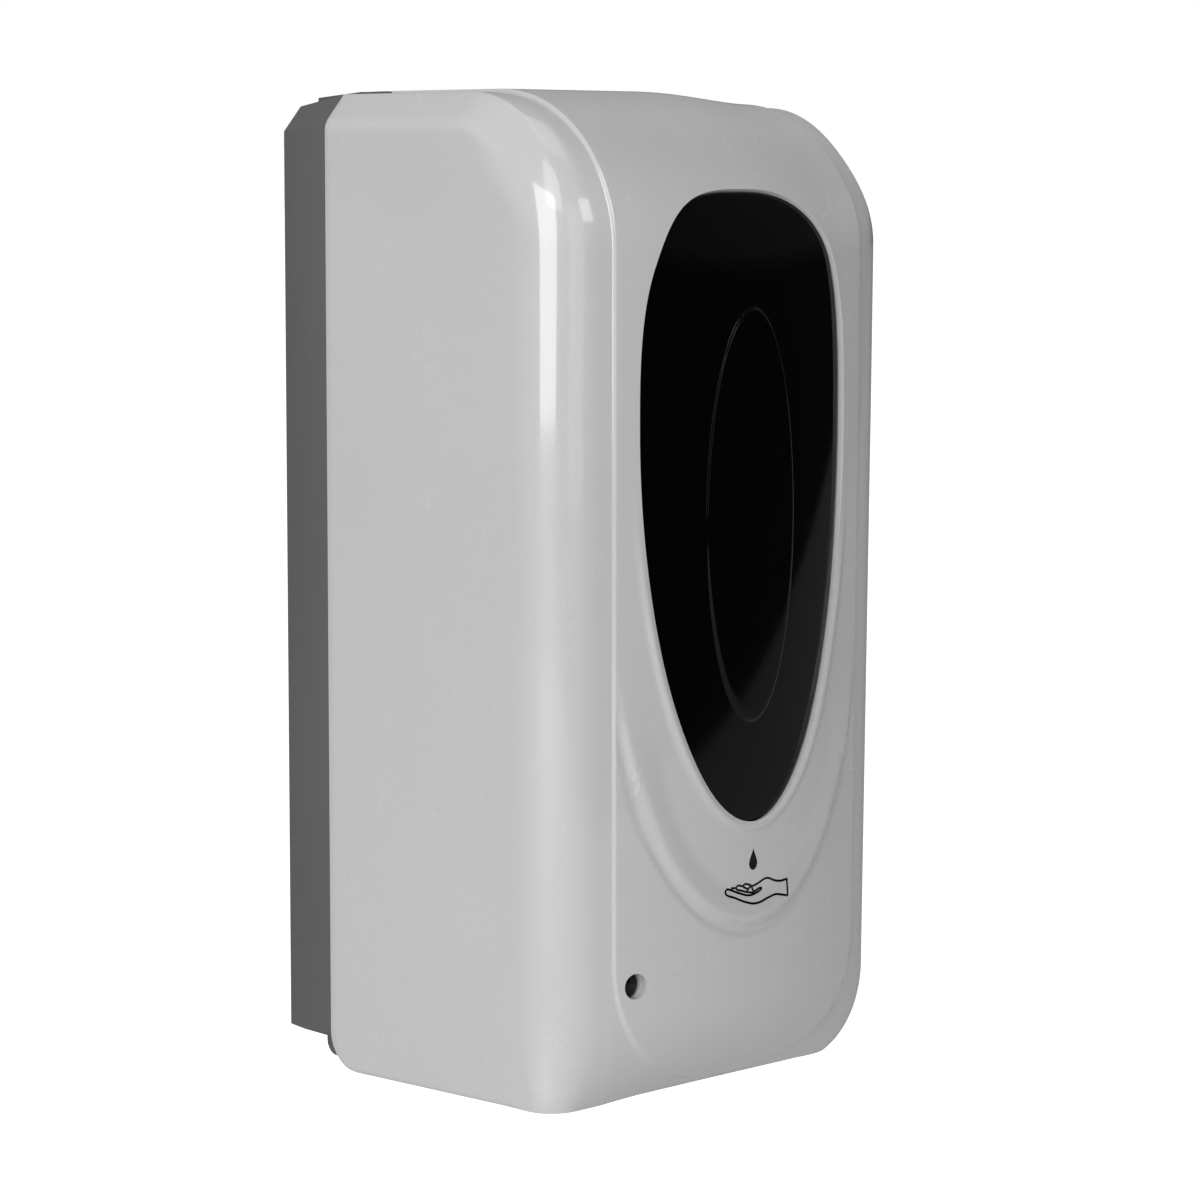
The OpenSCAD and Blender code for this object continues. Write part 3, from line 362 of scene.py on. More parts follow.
MATS = {
    "cover_white": plastic("cover_white", (0.72, 0.72, 0.72), 0.24, spread=0.012, grain=1800,
                           grain_depth=0.000003, peel=0.000004, coat=1.0, rough_spread=0.04),
    "case_grey": plastic("case_grey", (0.134, 0.134, 0.137), 0.5, spread=0.05, grain=2600,
                         grain_depth=0.00005, rough_spread=0.08),
    "smoked_black": plastic("smoked_black", (0.0012, 0.0012, 0.0014), 0.05, spread=0.1, grain=900,
                            grain_depth=0.000001, specular=0.28, rough_spread=0.02),
    "inner_white": plastic("inner_white", (0.68, 0.68, 0.66), 0.42, spread=0.02, grain=2400,
                           grain_depth=0.00002),
    "clear_plastic": plastic("clear_plastic", (0.86, 0.92, 0.94), 0.12, spread=0.01, grain=700,
                             grain_depth=0.00001, transmission=0.92, ior=1.49),
    "silicone": plastic("silicone", (0.82, 0.8, 0.74), 0.45, spread=0.03, grain=1500, transmission=0.45,
                        ior=1.41),
    "seal_rubber": plastic("seal_rubber", (0.02, 0.02, 0.02), 0.6, spread=0.1, grain=2200),
    "gear_nylon": plastic("gear_nylon", (0.76, 0.74, 0.68), 0.4, spread=0.03, grain=2000, sss=0.1),
    "steel": plastic("steel", (0.55, 0.55, 0.56), 0.32, spread=0.06, grain=1500, metallic=1.0,
                     stretch=(1, 1, 6), grain_depth=0.00001),
    "motor_steel": plastic("motor_steel", (0.5, 0.5, 0.51), 0.36, spread=0.06, grain=900, metallic=1.0,
                           stretch=(8, 1, 8), grain_depth=0.00001),
    "lock_chrome": plastic("lock_chrome", (0.72, 0.72, 0.73), 0.12, spread=0.03, grain=1400, metallic=1.0,
                           grain_depth=0.000004),
    "brass": plastic("brass", (0.72, 0.53, 0.24), 0.28, spread=0.06, grain=1400, metallic=1.0,
                     grain_depth=0.00001),
    "board_green": plastic("board_green", (0.015, 0.12, 0.045), 0.3, spread=0.25, grain=420,
                           grain_depth=0.00004, coat=0.3),
    "chip_black": plastic("chip_black", (0.022, 0.022, 0.023), 0.5, spread=0.15, grain=2600,
                          grain_depth=0.00003),
    "led_red": plastic("led_red", (0.55, 0.03, 0.02), 0.2, spread=0.1, grain=900, transmission=0.4),
}


def cell_material():
    """Printed battery sleeve: bare steel ends, a copper coloured band, then black."""
    steel, copper, black = (0.55, 0.55, 0.56), (0.5, 0.24, 0.08), (0.02, 0.02, 0.022)
    m, nt, bsdf = new_material("cell_wrap")
    tc = nt.nodes.new("ShaderNodeTexCoord")
    sep = nt.nodes.new("ShaderNodeSeparateXYZ")
    nt.links.new(tc.outputs["Object"], sep.inputs[0])
    band = to_range(nt, sep.outputs["Z"], 0, 1, 0.010, 0.067)
    wear = noise(nt, 60, 4)
    add = nt.nodes.new("ShaderNodeMath")
    add.operation = "MULTIPLY_ADD"
    add.inputs[1].default_value = 0.02
    nt.links.new(wear, add.inputs[0])
    nt.links.new(band, add.inputs[2])
    bands = [(0.0, steel), (0.03, copper), (0.2, copper), (0.215, black), (0.84, black), (0.98, steel)]
    nt.links.new(ramp(nt, add.outputs[0], bands), bsdf.inputs["Base Color"])
    nt.links.new(to_range(nt, wear, 0.2, 0.34), bsdf.inputs["Roughness"])
    nt.links.new(bump(nt, noise(nt, 1200), 0.00001), bsdf.inputs["Normal"])
    bsdf.inputs["Metallic"].default_value = 0.35
    return m


MATS["cell_wrap"] = cell_material()


def dress(ob, slot, body, replaces=()):
    ob.data.materials.clear()
    ob.data.materials.append(MATS[slot])
    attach(ob, body)
    for n in replaces:
        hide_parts(n)


# ------------------------------------------------------------------ cover shell
EDGE_STEPS = np.array([0.07, 0.14, 0.21, 0.28, 0.32, 0.345, 0.36, 0.38, 0.43, 0.5, 0.57, 0.61, 0.64,
                       0.66, 0.69, 0.73, 0.79, 0.86, 0.93, 1.0])
REACH_TOP, REACH_BROW, REACH_FRONT, REACH_CHIN = 18, 14.5, 13.5, 11.0   # depth of the side edges' turn
CHAMFER_TOP, CHAMFER_FRONT, CHAMFER_WIDE = 8, 11.5, 7.2
CHAMFER_FROM, CHAMFER_TO = 0.35, 0.65   # shares of the turn before and after the chamfer
WINDOW_BLOCK = (-46, 46, -66, 117)      # part of the grid that is filled again with rings
LED_BLOCK = 4.9
FLOOR_STEPS = 5


def cover_columns():
    """Where the columns stand across the front: close together at the panel's edge."""
    half = list(np.arange(0, 46.01, 0.92))
    half += [46.6, 47.1, 47.4, 47.55, 47.7, 47.85, 48.0, 48.15, 48.4, 49.0, 49.7]
    half += [NOTCH_X, 51.3, FILLET_X]
    return np.array([-v for v in half[:0:-1]] + half)


def cover_rows():
    """Rows from the rear rim over the top and down the front, each a kind and a value."""
    top = [REAR_Y, -20.5, -22.5, -24.6, NOTCH_Y, -28.5, -31, -35, -40, -45, -50, -55, -60, -64, -66.5]
    chin = list(np.arange(-95.7, -129.4, -0.62)) + list(np.linspace(-129.8, -132.6, 7))
    chin += [BOTTOM + h for h in (1.2, 0.95, 0.7, 0.47, 0.27, 0.12, 0.03, 0.0)]
    rows = [("top", y) for y in top]
    rows += [("brow", a) for a in np.linspace(90, 0, 52)]
    rows += [("front", t) for t in np.linspace(0, 1, 150)[1:]]
    return rows + [("chin", z) for z in chin]


def place_row(kind, v, xs):
    """A row's points, its way inwards, and its side edges' reach, chamfer and sharpness."""
    b = brow_b(xs)
    zc = TOP - b
    inward, chamfer, sharp = (0, 1, 0), CHAMFER_FRONT, 0
    if kind == "top":
        y, z = np.full(len(xs), v), np.full(len(xs), TOP)
        inward, reach, chamfer, sharp = (0, 0, -1), REACH_TOP, CHAMFER_TOP, 1
    elif kind == "brow":
        a = math.radians(v)
        y = BROW_Y - (BROW_Y - front_y(xs)) * math.cos(a)
        z = zc + b * math.sin(a)
        inward = (0, math.cos(a), -math.sin(a))
        reach = lerp(REACH_BROW, REACH_TOP, float(smooth(0, 60, v)))
        chamfer = lerp(CHAMFER_TOP, CHAMFER_FRONT, float(smooth(90, 40, v)))
        sharp = float(smooth(22, 86, v))
    elif kind == "front":
        y, z = front_y(xs), lerp(zc, FRONT_END_Z, v)
        reach = lerp(REACH_BROW, REACH_FRONT, float(smooth(0, 0.25, v)))
    else:
        z = np.full(len(xs), v)
        y = base_y(xs, z)
        reach = lerp(REACH_FRONT, REACH_CHIN, float(smooth(CHIN_Z, BOTTOM, v)))
    return np.stack([xs, y, z], -1), inward, reach, chamfer, sharp


def side_edge(side, base, inward, reach, chamfer, sharp):
    """Columns of the turn from the front to one side plane: an arc, or a chamfer where sharp."""
    last, before = (-1, -2) if side > 0 else (0, 1)
    start = base[:, last]
    along = start - base[:, before]
    along /= np.linalg.norm(along, axis=1, keepdims=True)
    corner = start + along * ((side * HALF_W - start[:, 0]) / along[:, 0])[:, None]
    end = corner + inward * reach[:, None]
    bend = np.sum((corner - start) * (end - corner), 1)
    bend /= np.linalg.norm(corner - start, axis=1)
    bend /= np.linalg.norm(end - corner, axis=1)
    w = np.cos(np.arccos(np.clip(bend, -1, 1)) / 2)
    cut_x = side * (HALF_W - CHAMFER_WIDE)
    cut_start = start + along * ((cut_x - start[:, 0]) / along[:, 0])[:, None]
    cut_end = corner + inward * chamfer[:, None]
    out = np.zeros((len(base), len(EDGE_STEPS), 3))
    for k, u in enumerate(EDGE_STEPS):
        q = ((1 - u) ** 2 + 2 * w * u * (1 - u) + u * u)[:, None]
        arc = ((1 - u) ** 2 * start + 2 * w[:, None] * u * (1 - u) * corner + u * u * end) / q
        soft = 0.012 + 0.045 * float(smooth(0.45, 0.6, u))
        near = [0.0] if u > 0.93 or u < 0.1 else np.linspace(-soft, soft, 9)
        cut = np.zeros((len(base), 3))
        for s in near:
            v = u + s
            if v < CHAMFER_FROM:
                cut += start + (cut_start - start) * (v / CHAMFER_FROM)
            elif v < CHAMFER_TO:
                cut += lerp(cut_start, cut_end, (v - CHAMFER_FROM) / (CHAMFER_TO - CHAMFER_FROM))
            else:
                cut += lerp(cut_end, end, (v - CHAMFER_TO) / (1 - CHAMFER_TO))
        out[:, k] = lerp(arc, cut / len(near), sharp[:, None])
    return out


def turned_in(radius, h):
    """How far a rounded bottom edge has turned in, at height h above the bottom."""
    if h >= radius:
        return 0
    return radius - math.sqrt(max(0, radius ** 2 - max(0, radius - h) ** 2))


def round_bottom_edge(grid, rows, nc):
    """A small radius in front, a larger one on the sides."""
    ne = len(EDGE_STEPS)
    for r, (kind, _) in enumerate(rows):
        if kind != "chin":
            continue
        h = grid[r, ne + nc // 2, 2] - BOTTOM
        front, flank = turned_in(BOTTOM_R_FRONT, h), turned_in(BOTTOM_R_SIDE, h)
        grid[r, ne:ne + nc, 1] += front
        for k, u in enumerate(EDGE_STEPS):
            a = math.pi / 2 * u
            for c, s in ((ne + nc + k, -1), (ne - 1 - k, 1)):
                grid[r, c, 0] += s * flank * math.sin(a)
                grid[r, c, 1] += front * math.cos(a)


def outer_grid(xs, rows):
    """Points of the plain front, and of the whole outer skin from one side plane to the other."""
    placed = [place_row(kind, v, xs) for kind, v in rows]
    base, inward, reach, chamfer, sharp = (np.array(part, float) for part in zip(*placed))
    normal = np.cross(np.gradient(base, axis=1), np.gradient(base, axis=0))
    normal /= np.maximum(np.linalg.norm(normal, axis=-1, keepdims=True), 1e-9)
    normal *= np.sign(-normal[..., 1:2] + normal[..., 2:3] * (base[..., 2:3] > 0) + 1e-9)
    shaped = base + normal * relief(base[..., 0], base[..., 2])[..., None]
    right = side_edge(1, base, inward, reach, chamfer, sharp)
    left = side_edge(-1, base, inward, reach, chamfer, sharp)[:, ::-1]
    grid = np.concatenate([left, shaped, right], axis=1)
    round_bottom_edge(grid, rows, len(xs))
    return base, grid


def join_lines(faces, prev, now, closed=False):
    """Faces between two lines of as many vertices each."""
    for a in range(len(now) if closed else len(now) - 1):
        b = (a + 1) % len(now)
        faces.append((prev[a], prev[b], now[b], now[a]))


def block_loop(idx, block):
    """The vertices round a block of the grid."""
    r0, r1, c0, c1 = block
    loop = [idx[r0, c] for c in range(c0, c1)] + [idx[r, c1] for r in range(r0, r1)]
    return loop + [idx[r1, c] for c in range(c1, c0, -1)] + [idx[r, c0] for r in range(r1, r0, -1)]


def fill_block(verts, faces, loop, outer, centre, scale, count, power):
    """Rings that close in from a block's loop on a hole's outline, denser towards it."""
    d = outer - centre
    inner = centre + d * scale(d[:, 0], d[:, 1])[:, None]
    prev = loop
    for k in range(1, count + 1):
        p = lerp(outer, inner, 1 - (1 - k / count) ** power)
        now = list(range(len(verts), len(verts) + len(loop)))
        verts.extend(surface(p[:, 0], p[:, 1]))
        join_lines(faces, prev, now, closed=True)
        prev = now


def side_wall(verts, faces, column, first_brow, back_steps):
    """Every row below the top runs on to the rear rim. Returns the lowest one, over the floor."""
    prev = list(column[first_brow::-1])
    for start in column[first_brow + 1:]:
        x, y_front, z = verts[start]
        y_rear = REAR_Y
        if z <= HINGE_Z:
            y_rear = HINGE_Y + math.sqrt(max(HEEL_R ** 2 - (z - HINGE_Z) ** 2, 0))
        line = [start]
        for y in lerp(y_front, y_rear, back_steps)[1:]:
            line.append(len(verts))
            verts.append(np.array([x, y, z]))
        join_lines(faces, prev, line)
        prev = line
    return [i for i in prev[1:] if verts[i][1] < FLOOR_REAR_Y]


def bottom_wall(verts, faces, outer):
    """Strips from the outer edge in to the mouth."""
    prev = outer
    for k in range(1, FLOOR_STEPS + 1):
        share = k / FLOOR_STEPS
        now = list(range(len(verts), len(verts) + len(outer)))
        for i in outer:
            x, y = verts[i][:2]
            goal = (np.clip(x, -MOUTH_X, MOUTH_X), max(y, MOUTH_Y))
            verts.append(np.array([lerp(x, goal[0], share), lerp(y, goal[1], share), BOTTOM]))
        join_lines(faces, prev, now)
        prev = now


def build_cover():
    xs, rows = cover_columns(), cover_rows()
    base, grid = outer_grid(xs, rows)
    nr, width = grid.shape[:2]
    ne, half = len(EDGE_STEPS), len(xs) // 2
    verts = list(grid.reshape(-1, 3))
    idx = np.arange(nr * width).reshape(nr, width)

    # holes in the grid: two blocks that are filled again with rings, and the notch at the rear
    cx = np.concatenate([np.full(ne, -99.0), xs, np.full(ne, 99.0)])
    row_z = [base[r, half, 2] if kind != "top" else 999 for r, (kind, _) in enumerate(rows)]

    def block(x0, x1, z0, z1):
        c = [i for i in range(width) if x0 - 1e-6 <= cx[i] <= x1 + 1e-6]
        r = [i for i in range(nr) if z0 <= row_z[i] <= z1]
        return r[0], r[-1], c[0], c[-1]

    window = block(*WINDOW_BLOCK)
    led = block(LED_X - LED_BLOCK, LED_X + LED_BLOCK, LED_Z - LED_BLOCK, LED_Z + LED_BLOCK)
    skip = np.zeros((nr - 1, width - 1), bool)
    for r0, r1, c0, c1 in (window, led):
        skip[r0:r1, c0:c1] = True
    for r in range(nr - 1):
        if rows[r][0] == "top" and grid[r + 1, ne + half, 1] > NOTCH_Y - 1e-6:
            skip[r] |= np.abs((cx[:-1] + cx[1:]) / 2) < NOTCH_X
    faces = [(idx[r, c], idx[r, c + 1], idx[r + 1, c + 1], idx[r + 1, c]) for r, c in zip(*np.nonzero(~skip))]
    holes = ((window, np.array([0, WIN_MID]), window_scale, 26, 1.55),
             (led, np.array([LED_X, LED_Z]), lambda x, z: LED_R / np.hypot(x, z), 8, 1.2))
    for part, centre, scale, count, power in holes:
        loop = block_loop(idx, part)
        outer = np.array([base[i // width, i % width - ne][[0, 2]] for i in loop])
        fill_block(verts, faces, loop, outer, centre, scale, count, power)

    first_brow = [kind for kind, _ in rows].index("brow")
    back_steps = grid[first_brow::-1, ne + half, 1]
    back_steps = (back_steps - back_steps[0]) / (back_steps[-1] - back_steps[0])
    low_right = side_wall(verts, faces, idx[:, -1], first_brow, back_steps)
    low_left = side_wall(verts, faces, idx[:, 0], first_brow, back_steps)
    bottom_wall(verts, faces, low_left[::-1] + list(idx[-1]) + low_right)

    ob = make_mesh("cover_shell", [settle(np.array(v, float)) for v in verts], faces)
    thicken_cover(ob)
    return ob


def thicken_cover(ob):
    """Weld the outer skin, give it its wall, and round its edges."""
    bm = bmesh.new()
    bm.from_mesh(ob.data)
    bmesh.ops.remove_doubles(bm, verts=bm.verts, dist=1e-6)
    bmesh.ops.delete(bm, geom=[v for v in bm.verts if not v.link_faces], context="VERTS")
    bmesh.ops.dissolve_degenerate(bm, edges=bm.edges, dist=1e-7)
    bmesh.ops.recalc_face_normals(bm, faces=bm.faces)
    probe = Vector((-HALF_W, -60, 0)) * MM
    left_face = min(bm.faces, key=lambda f: (f.calc_center_median() - probe).length)
    if left_face.normal.x > 0:
        bmesh.ops.reverse_faces(bm, faces=bm.faces)
    bm.to_mesh(ob.data)
    bm.free()
    s = ob.modifiers.new("wall", "SOLIDIFY")
    s.thickness = WALL * MM
    s.offset = -1
    s.use_even_offset = True
    s.use_quality_normals = True
    add_bevel(ob, 0.35, 62)
    apply_modifiers(ob)
    for v in ob.data.vertices:
        v.co.x = max(-HALF_W * MM, min(HALF_W * MM, v.co.x))
        v.co.y = max(-DEPTH * MM, v.co.y)
        v.co.z = max(BOTTOM * MM, min(BAND_TOP * MM, v.co.z))
    finish_shading(ob.data, 32)


dress(build_cover(), "cover_white", "cover", ["front_cover"])


# ------------------------------------------------------------------ window
WINDOW_POINTS = 288
# distance outwards and lift, at the oval's edge and at the window's edge
OVAL_EDGE = ((-0.6, 0.61), (-0.35, 0.56), (-0.15, 0.42), (0.05, 0.2), (0.25, 0.06), (0.45, 0.0), (0.8, 0.0))
WINDOW_EDGE = ((-0.35, -0.03), (-0.2, -0.14), (-0.12, -0.35), (-0.12, FLANGE_FRONT),
               (FLANGE, FLANGE_FRONT), (FLANGE, FLANGE_BACK), (-2, FLANGE_BACK))


def unit(v):
    return v / np.linalg.norm(v, axis=1, keepdims=True)


def build_window():
    """Smoked window: a crowned plate sunk in the cover, a long oval raised on it, a flange behind."""
    n = WINDOW_POINTS
    ang = np.linspace(0, 2 * math.pi, n, endpoint=False) + 1e-4
    oval = np.stack([OVAL_A * np.cos(ang), OVAL_Z + OVAL_B * np.sin(ang)], -1)
    oval_n = unit(np.stack([oval[:, 0] / OVAL_A ** 2, (oval[:, 1] - OVAL_Z) / OVAL_B ** 2], -1))
    d = oval - np.array([0, WIN_MID])
    out = np.array([0, WIN_MID]) + d * window_scale(d[:, 0], d[:, 1])[:, None]
    run = np.roll(out, -1, 0) - np.roll(out, 1, 0)
    out_n = unit(np.stack([run[:, 1], -run[:, 0]], -1))
    mid = np.array([0, OVAL_Z])
    flat = STEP - WIN_SINK
    rings = [(lerp(mid, oval - oval_n * 0.9, k / 24), flat + OVAL_LIFT) for k in range(1, 25)]
    rings += [(oval + oval_n * off, flat + lift) for off, lift in OVAL_EDGE]
    rings += [(lerp(oval + oval_n * 0.8, out - out_n * 0.6, k / 26), flat) for k in range(1, 27)]
    rings += [(out + out_n * off, flat + lift) for off, lift in WINDOW_EDGE]
    rings += [(lerp(out - out_n * 2, mid, k / 12), flat + FLANGE_BACK) for k in range(1, 12)]
    verts, faces = [], []
    for p, lift in rings:
        pts = np.stack([p[:, 0], base_y(p[:, 0], p[:, 1]), p[:, 1]], -1)
        verts.extend(pts + base_normal(p[:, 0], p[:, 1]) * lift)
    for r in range(len(rings) - 1):
        for k in range(n):
            j = (k + 1) % n
            faces.append((r * n + k, r * n + j, (r + 1) * n + j, (r + 1) * n + k))
    a, b = len(verts), len(verts) + 1
    for lift in (flat + OVAL_LIFT, flat + FLANGE_BACK):
        verts.append(np.array([0, float(base_y(0.0, OVAL_Z)) - lift, OVAL_Z]))
    last = (len(rings) - 1) * n
    for k in range(n):
        j = (k + 1) % n
        faces.append((a, j, k))
        faces.append((b, last + k, last + j))
    ob = make_mesh("window_plate", verts, faces)
    face_outwards(ob)
    finish_shading(ob.data, 40)
    return ob


dress(build_window(), "smoked_black", "cover", ["window"])


# ------------------------------------------------------------------ fittings inside the cover
def solid(name, parts):
    """One object from closed pieces, each given as (verts, faces)."""
    verts, faces = [], []
    for v, f in parts:
        faces += [tuple(i + len(verts) for i in face) for face in f]
        verts += list(v)
    return make_mesh(name, verts, faces)


def lathe(profile, centre, axis, n=48):
    """Ring swept round an axis: profile is (radius, distance along the axis)."""
    axis = np.array(axis, float)
    side = np.cross(axis, [0, 0, 1] if abs(axis[2]) < 0.9 else [1, 0, 0])
    side /= np.linalg.norm(side)
    up = np.cross(axis, side)
    verts = []
    for r, h in profile:
        for k in range(n):
            a = 2 * math.pi * k / n
            verts.append(np.array(centre) + axis * h + (side * math.cos(a) + up * math.sin(a)) * r)
    faces = []
    for i in range(len(profile)):
        j = (i + 1) % len(profile)
        for k in range(n):
            m = (k + 1) % n
            faces.append((i * n + k, i * n + m, j * n + m, j * n + k))
    return verts, faces


def block_part(x, y, z):
    v = [np.array([a, b, c]) for a in x for b in y for c in z]
    f = [(0, 1, 3, 2), (4, 6, 7, 5), (0, 4, 5, 1), (2, 3, 7, 6), (0, 2, 6, 4), (1, 5, 7, 3)]
    return v, f


def rounded_copy(name, node, width, body, slot):
    """A copy of a CAD node with its sharp edges rounded, which stands for it."""
    me = frame["nodes"][node].data.copy()
    ob = bpy.data.objects.new(name, me)
    bpy.context.scene.collection.objects.link(ob)
    bm = bmesh.new()
    bm.from_mesh(me)
    bmesh.ops.remove_doubles(bm, verts=bm.verts, dist=1e-6)
    bmesh.ops.dissolve_limit(bm, angle_limit=math.radians(0.4), verts=bm.verts, edges=bm.edges)
    bm.to_mesh(me)
    bm.free()
    add_bevel(ob, width, 35)
    apply_modifiers(ob)
    finish_shading(ob.data, 40)
    dress(ob, slot, body, [node])


KNUCKLE_X = 56.3
KNUCKLE = [(2.05, 0), (2.05, 6.2), (0.01, 6.2), (0.01, 6.5), (6.2, 6.5), (6.5, 6.2), (6.5, 0.3), (6.2, 0)]
TUBE_Y = -110.6
TUBE = [(LED_R, 0), (LED_R, 5.2), (5.1, 5.2), (5.3, 4.9), (5.3, 0)]
RIB_X, RIB_Y, RIB_Z, RIB_HALF = (61.4, 63.3), (-88, -24), (-60, 20, 90), 0.7


def cover_fittings():
    """Hinge knuckles, the tube behind the indicator hole, and ribs along the side walls."""
    parts = []
    for s in (-1, 1):
        parts.append(lathe(KNUCKLE, (s * KNUCKLE_X, HINGE_Y, HINGE_Z), (s, 0, 0)))
    parts.append(lathe(TUBE, (LED_X, TUBE_Y, LED_Z), (0, 1, 0)))
    for s in (-1, 1):
        for z in RIB_Z:
            parts.append(block_part(sorted(s * x for x in RIB_X), RIB_Y, (z - RIB_HALF, z + RIB_HALF)))
    ob = solid("cover_fittings", parts)
    face_outwards(ob)
    finish_shading(ob.data, 40)
    return ob


dress(cover_fittings(), "cover_white", "cover")


def indicator_lens():
    """Domed black lens at the bottom of its hole."""
    front = float(surface(LED_X, LED_Z)[1]) + LED_DEEP
    domed = [(0.02, -0.25), (1.2, -0.2), (2.3, -0.05), (LED_R - 0.35, 0.12), (LED_R - 0.02, 0.4),
             (LED_R - 0.02, 3.4), (2.4, 3.4), (2.4, 5.4), (0.02, 5.4)]
    ob = solid("indicator_lens_shape", [lathe(domed, (LED_X, front, LED_Z), (0, 1, 0))])
    finish_shading(ob.data, 35)
    return ob


dress(indicator_lens(), "smoked_black", "cover", ["indicator_lens"])


# ------------------------------------------------------------------ printed mark: a drop over an open hand
INK, INK_ROOT = 0.05, -0.3      # front and back of the ink, over the cover's surface
STROKE = 0.30                   # half width of a line
DROP_TOP, DROP_LONG, DROP_HALF = -69.0, 5.9, 1.6
HAND = [
    [(-8.6, -79.4), (-10.2, -79.0), (-11, -79.8), (-10.1, -80.7), (-7.5, -81.6), (-4, -83), (-0.5, -84),
     (2.5, -84), (6, -83.2), (9, -82.7), (11.5, -83.1), (14, -83.7)],
    [(14, -83.8), (14, -79.0)],
    [(14, -79.1), (11.5, -79.3), (9, -78.9), (7, -78.1), (5.5, -77.8), (4, -78.1), (2, -78.8), (-0.6, -79.4)],
    [(-8.6, -79.4), (-6.4, -80.3), (-4.3, -81), (-2.1, -81.6), (-0.3, -81.6), (1.4, -81.3), (2.9, -80.8),
     (3.5, -80.3), (2.5, -80.2), (1, -80.7), (-0.4, -81), (-2.2, -80.7), (-4.4, -80.1), (-6.6, -79.5)],
    [(-8.6, -79.4), (-8.3, -78.9), (-6.6, -79.1)],
    [(-6.4, -79.4), (-6.6, -78.9), (-5.8, -78.5), (-3.7, -79)],
    [(-2.1, -79.9), (-3.6, -79.2), (-3.8, -78.7), (-2.8, -78.4), (-0.6, -79.1)],
    [(-2.3, -80.6), (-1.9, -79.9), (-0.7, -79.3), (-0.2, -80.1), (0.4, -80.8)],
]


def curve(points, steps=8):
    """Smooth line through the points."""
    p = [np.array(q, float) for q in points]
    p = [2 * p[0] - p[1]] + p + [2 * p[-1] - p[-2]]
    out = []
    for i in range(1, len(p) - 2):
        for k in range(steps):
            t = k / steps
            out.append(0.5 * (2 * p[i] + (p[i + 1] - p[i - 1]) * t
                              + (2 * p[i - 1] - 5 * p[i] + 4 * p[i + 1] - p[i + 2]) * t ** 2
                              + (3 * p[i] - p[i - 1] - 3 * p[i + 1] + p[i + 2]) * t ** 3))
    return out + [p[-2]]


def ribbon(line, half):
    """Closed flat strip of ink along a line on the cover, half wide either side."""
    line = np.array(line)
    d = np.gradient(line, axis=0)
    d /= np.linalg.norm(d, axis=1, keepdims=True)
    across = np.stack([-d[:, 1], d[:, 0]], -1) * np.reshape(half, (-1, 1))
    verts = []
    for p, a in zip(line, across):
        for q, lift in ((p - a, INK), (p + a, INK), (p + a, INK_ROOT), (p - a, INK_ROOT)):
            verts.append(surface(q[0], q[1], lift))
    faces = [(0, 1, 2, 3)]
    for i in range(0, len(verts) - 4, 4):
        faces += [(i + k, i + 4 + k, i + 4 + (k + 1) % 4, i + (k + 1) % 4) for k in range(4)]
    return verts, faces + [tuple(len(verts) - k for k in (1, 2, 3, 4))]


def hand_mark():
    t = np.linspace(0.01, 0.995, 40)
    drop = np.stack([np.zeros_like(t), DROP_TOP - DROP_LONG * t], -1)
    parts = [ribbon(drop, DROP_HALF * np.sin(math.pi * t ** 1.9) ** 0.6)]
    for points in HAND:
        line = curve(points)
        parts.append(ribbon(line, np.full(len(line), STROKE)))
    ob = solid("hand_mark", parts)
    face_outwards(ob)
    return ob


dress(hand_mark(), "smoked_black", "cover")


# ------------------------------------------------------------------ the rest of the dispenser
BODY_OF = {n: b for b, ns in frame["record"]["behaviour"]["bodies"].items() for n in ns}
SLOT_OF = {s["node"]: s["material_slot"] for s in frame["record"]["subparts"]}
SHAPED = ("front_cover", "window", "indicator_lens")    # each has its own mesh above
# width of the rounding on every sharp edge of a node, in mm
ROUNDED = {
    "back_case": 0.45, "chassis": 0.35, "service_panel": 0.3, "battery_holder": 0.3, "battery_door": 0.35,
    "nozzle_shroud": 0.45, "pump_housing": 0.3, "pump_cover": 0.25, "lock_barrel": 0.3, "lock_plug": 0.2,
    "lock_cam": 0.25, "cover_catch": 0.3, "filler_lid": 0.45, "filler_neck": 0.3, "power_rocker": 0.3,
    "switch_frame": 0.3, "dose_slider": 0.2, "dose_switch_body": 0.2, "control_board": 0.12,
    "board_chips": 0.15, "reservoir": 0.4, "nozzle": 0.2, "motor_cap": 0.2,
}
for node, ob in frame["nodes"].items():
    if node in SHAPED:
        continue
    if node in ROUNDED:
        rounded_copy(node + "_shape", node, ROUNDED[node], BODY_OF[node], SLOT_OF[node])
    else:
        ob.data.materials.clear()
        ob.data.materials.append(MATS[SLOT_OF[node]])


# ------------------------------------------------------------------ camera, light and floor
def look_from(name, loc, azimuth, pitch, lens):
    cam = bpy.data.cameras.new(name)
    cam.lens = lens
    cam.sensor_width = 36
    cam.clip_end = 50
    ob = bpy.data.objects.new(name, cam)
    ob.location = loc
    ob.rotation_euler = (math.radians(90 - pitch), 0, math.radians(azimuth))
    bpy.context.scene.collection.objects.link(ob)
    return ob


def area(name, loc, target, width, height, power):
    light = bpy.data.lights.new(name, "AREA")
    light.energy = power
    light.shape = "RECTANGLE"
    light.size = width
    light.size_y = height
    ob = bpy.data.objects.new(name, light)
    ob.location = loc
    ob.rotation_euler = (Vector(target) - Vector(loc)).to_track_quat("-Z", "Y").to_euler()
    bpy.context.scene.collection.objects.link(ob)


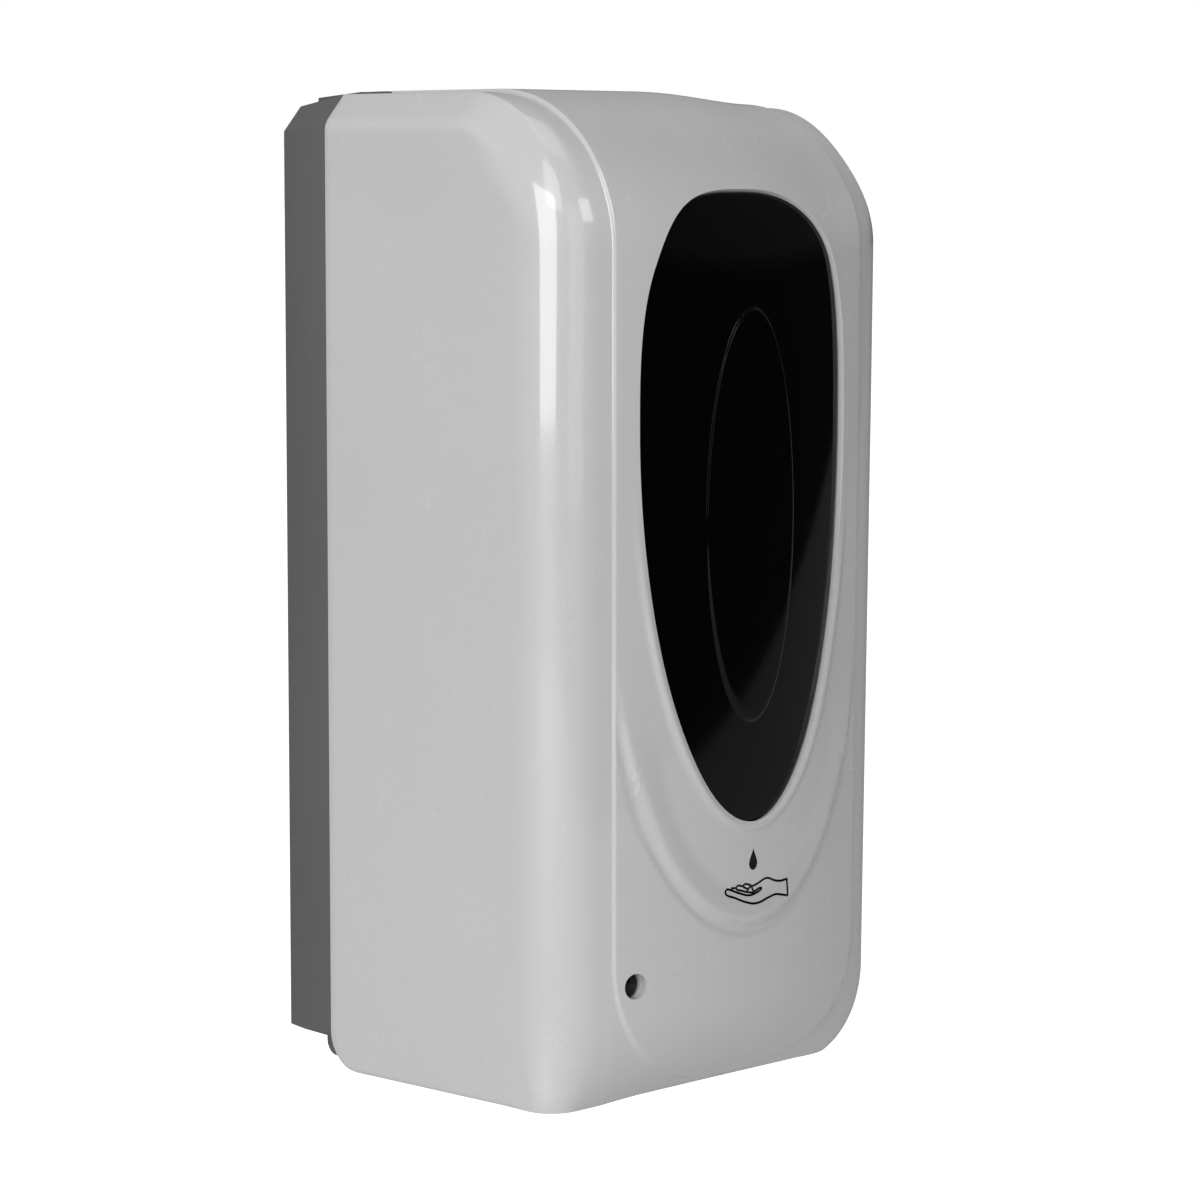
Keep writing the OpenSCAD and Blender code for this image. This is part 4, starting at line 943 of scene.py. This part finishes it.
def studio_world(left, right, level, above_front, above_back, shown):
    """White surroundings: light from left and right, mirrored light by height, and what is seen."""
    w = bpy.data.worlds.new("studio")
    w.use_nodes = True
    nt = w.node_tree
    path = nt.nodes.new("ShaderNodeLightPath")
    direction = nt.nodes.new("ShaderNodeSeparateXYZ")
    nt.links.new(nt.nodes.new("ShaderNodeTexCoord").outputs["Generated"], direction.inputs[0])
    above = to_range(nt, direction.outputs["Y"], above_front, above_back, -0.2, 0.3)
    mirrored = to_range(nt, direction.outputs["Z"], level, 0.0, 0.0, 0.18)
    nt.links.new(above, mirrored.node.inputs["To Max"])
    last = nt.nodes["Background"]
    last.inputs["Color"].default_value = (1, 1, 1, 1)
    nt.links.new(to_range(nt, direction.outputs["X"], left, right, -0.5, 0.7), last.inputs["Strength"])
    seen = nt.nodes.new("ShaderNodeBackground")
    seen.inputs["Color"].default_value = (1, 1, 1, 1)
    seen.inputs["Strength"].default_value = shown
    shiny = nt.nodes.new("ShaderNodeBackground")
    shiny.inputs["Color"].default_value = (1, 1, 1, 1)
    nt.links.new(mirrored, shiny.inputs["Strength"])
    for ray, bg in (("Is Glossy Ray", shiny), ("Is Camera Ray", seen)):
        mix = nt.nodes.new("ShaderNodeMixShader")
        nt.links.new(path.outputs[ray], mix.inputs[0])
        nt.links.new(last.outputs[0], mix.inputs[1])
        nt.links.new(bg.outputs[0], mix.inputs[2])
        last = mix
    nt.links.new(last.outputs[0], nt.nodes["World Output"].inputs["Surface"])
    bpy.context.scene.world = w


def studio_floor(x, y, z, glow, shown):
    """Plain pale floor, with one glow for light and reflections and one as the camera sees it."""
    me = bpy.data.meshes.new("floor")
    me.from_pydata([(a, b, z) for a in x for b in y], [], [(0, 2, 3, 1)])
    ob = bpy.data.objects.new("floor", me)
    bpy.context.scene.collection.objects.link(ob)
    m, nt, bsdf = new_material("floor_white")
    tones = [(0.3, (0.86, 0.86, 0.86)), (0.7, (0.88, 0.88, 0.88))]
    nt.links.new(ramp(nt, noise(nt, 3, 3), tones), bsdf.inputs["Base Color"])
    bsdf.inputs["Roughness"].default_value = 0.8
    bsdf.inputs["Emission Color"].default_value = (1, 1, 1, 1)
    path = nt.nodes.new("ShaderNodeLightPath")
    strength = to_range(nt, path.outputs["Is Camera Ray"], glow, shown, 0, 1)
    nt.links.new(strength, bsdf.inputs["Emission Strength"])
    me.materials.append(m)


bpy.context.scene.camera = look_from("camera", (-0.8108, -0.8406, 0.11206), -46.06, 5.967, 121.9)
bpy.context.scene.view_settings.view_transform = "Standard"
studio_world(0.32, 0.13, 0.02, 0.10, 0.36, 1.0)
studio_floor((-40, 40), (-1.6, 60), -0.30, 0.0, 0.95)
area("side_strip", (-2.25, -0.80, 0.60), (0, -0.08, 0.25), 1.15, 1.42, 19.0)
area("left_up", (-1.75, -1.15, 1.35), (0, -0.08, 0), 0.95, 0.95, 5.0)
area("top", (-0.2, -0.4, 2.0), (0, -0.08, 0), 1.5, 1.5, 5.4)
area("front", (-0.12, -2.3, 1.08), (0, -0.08, 0), 0.8, 0.6, 4.0)
area("front_left", (-1.1, -2.3, 0.5), (0, -0.08, 0), 1.1, 1.4, 3.0)
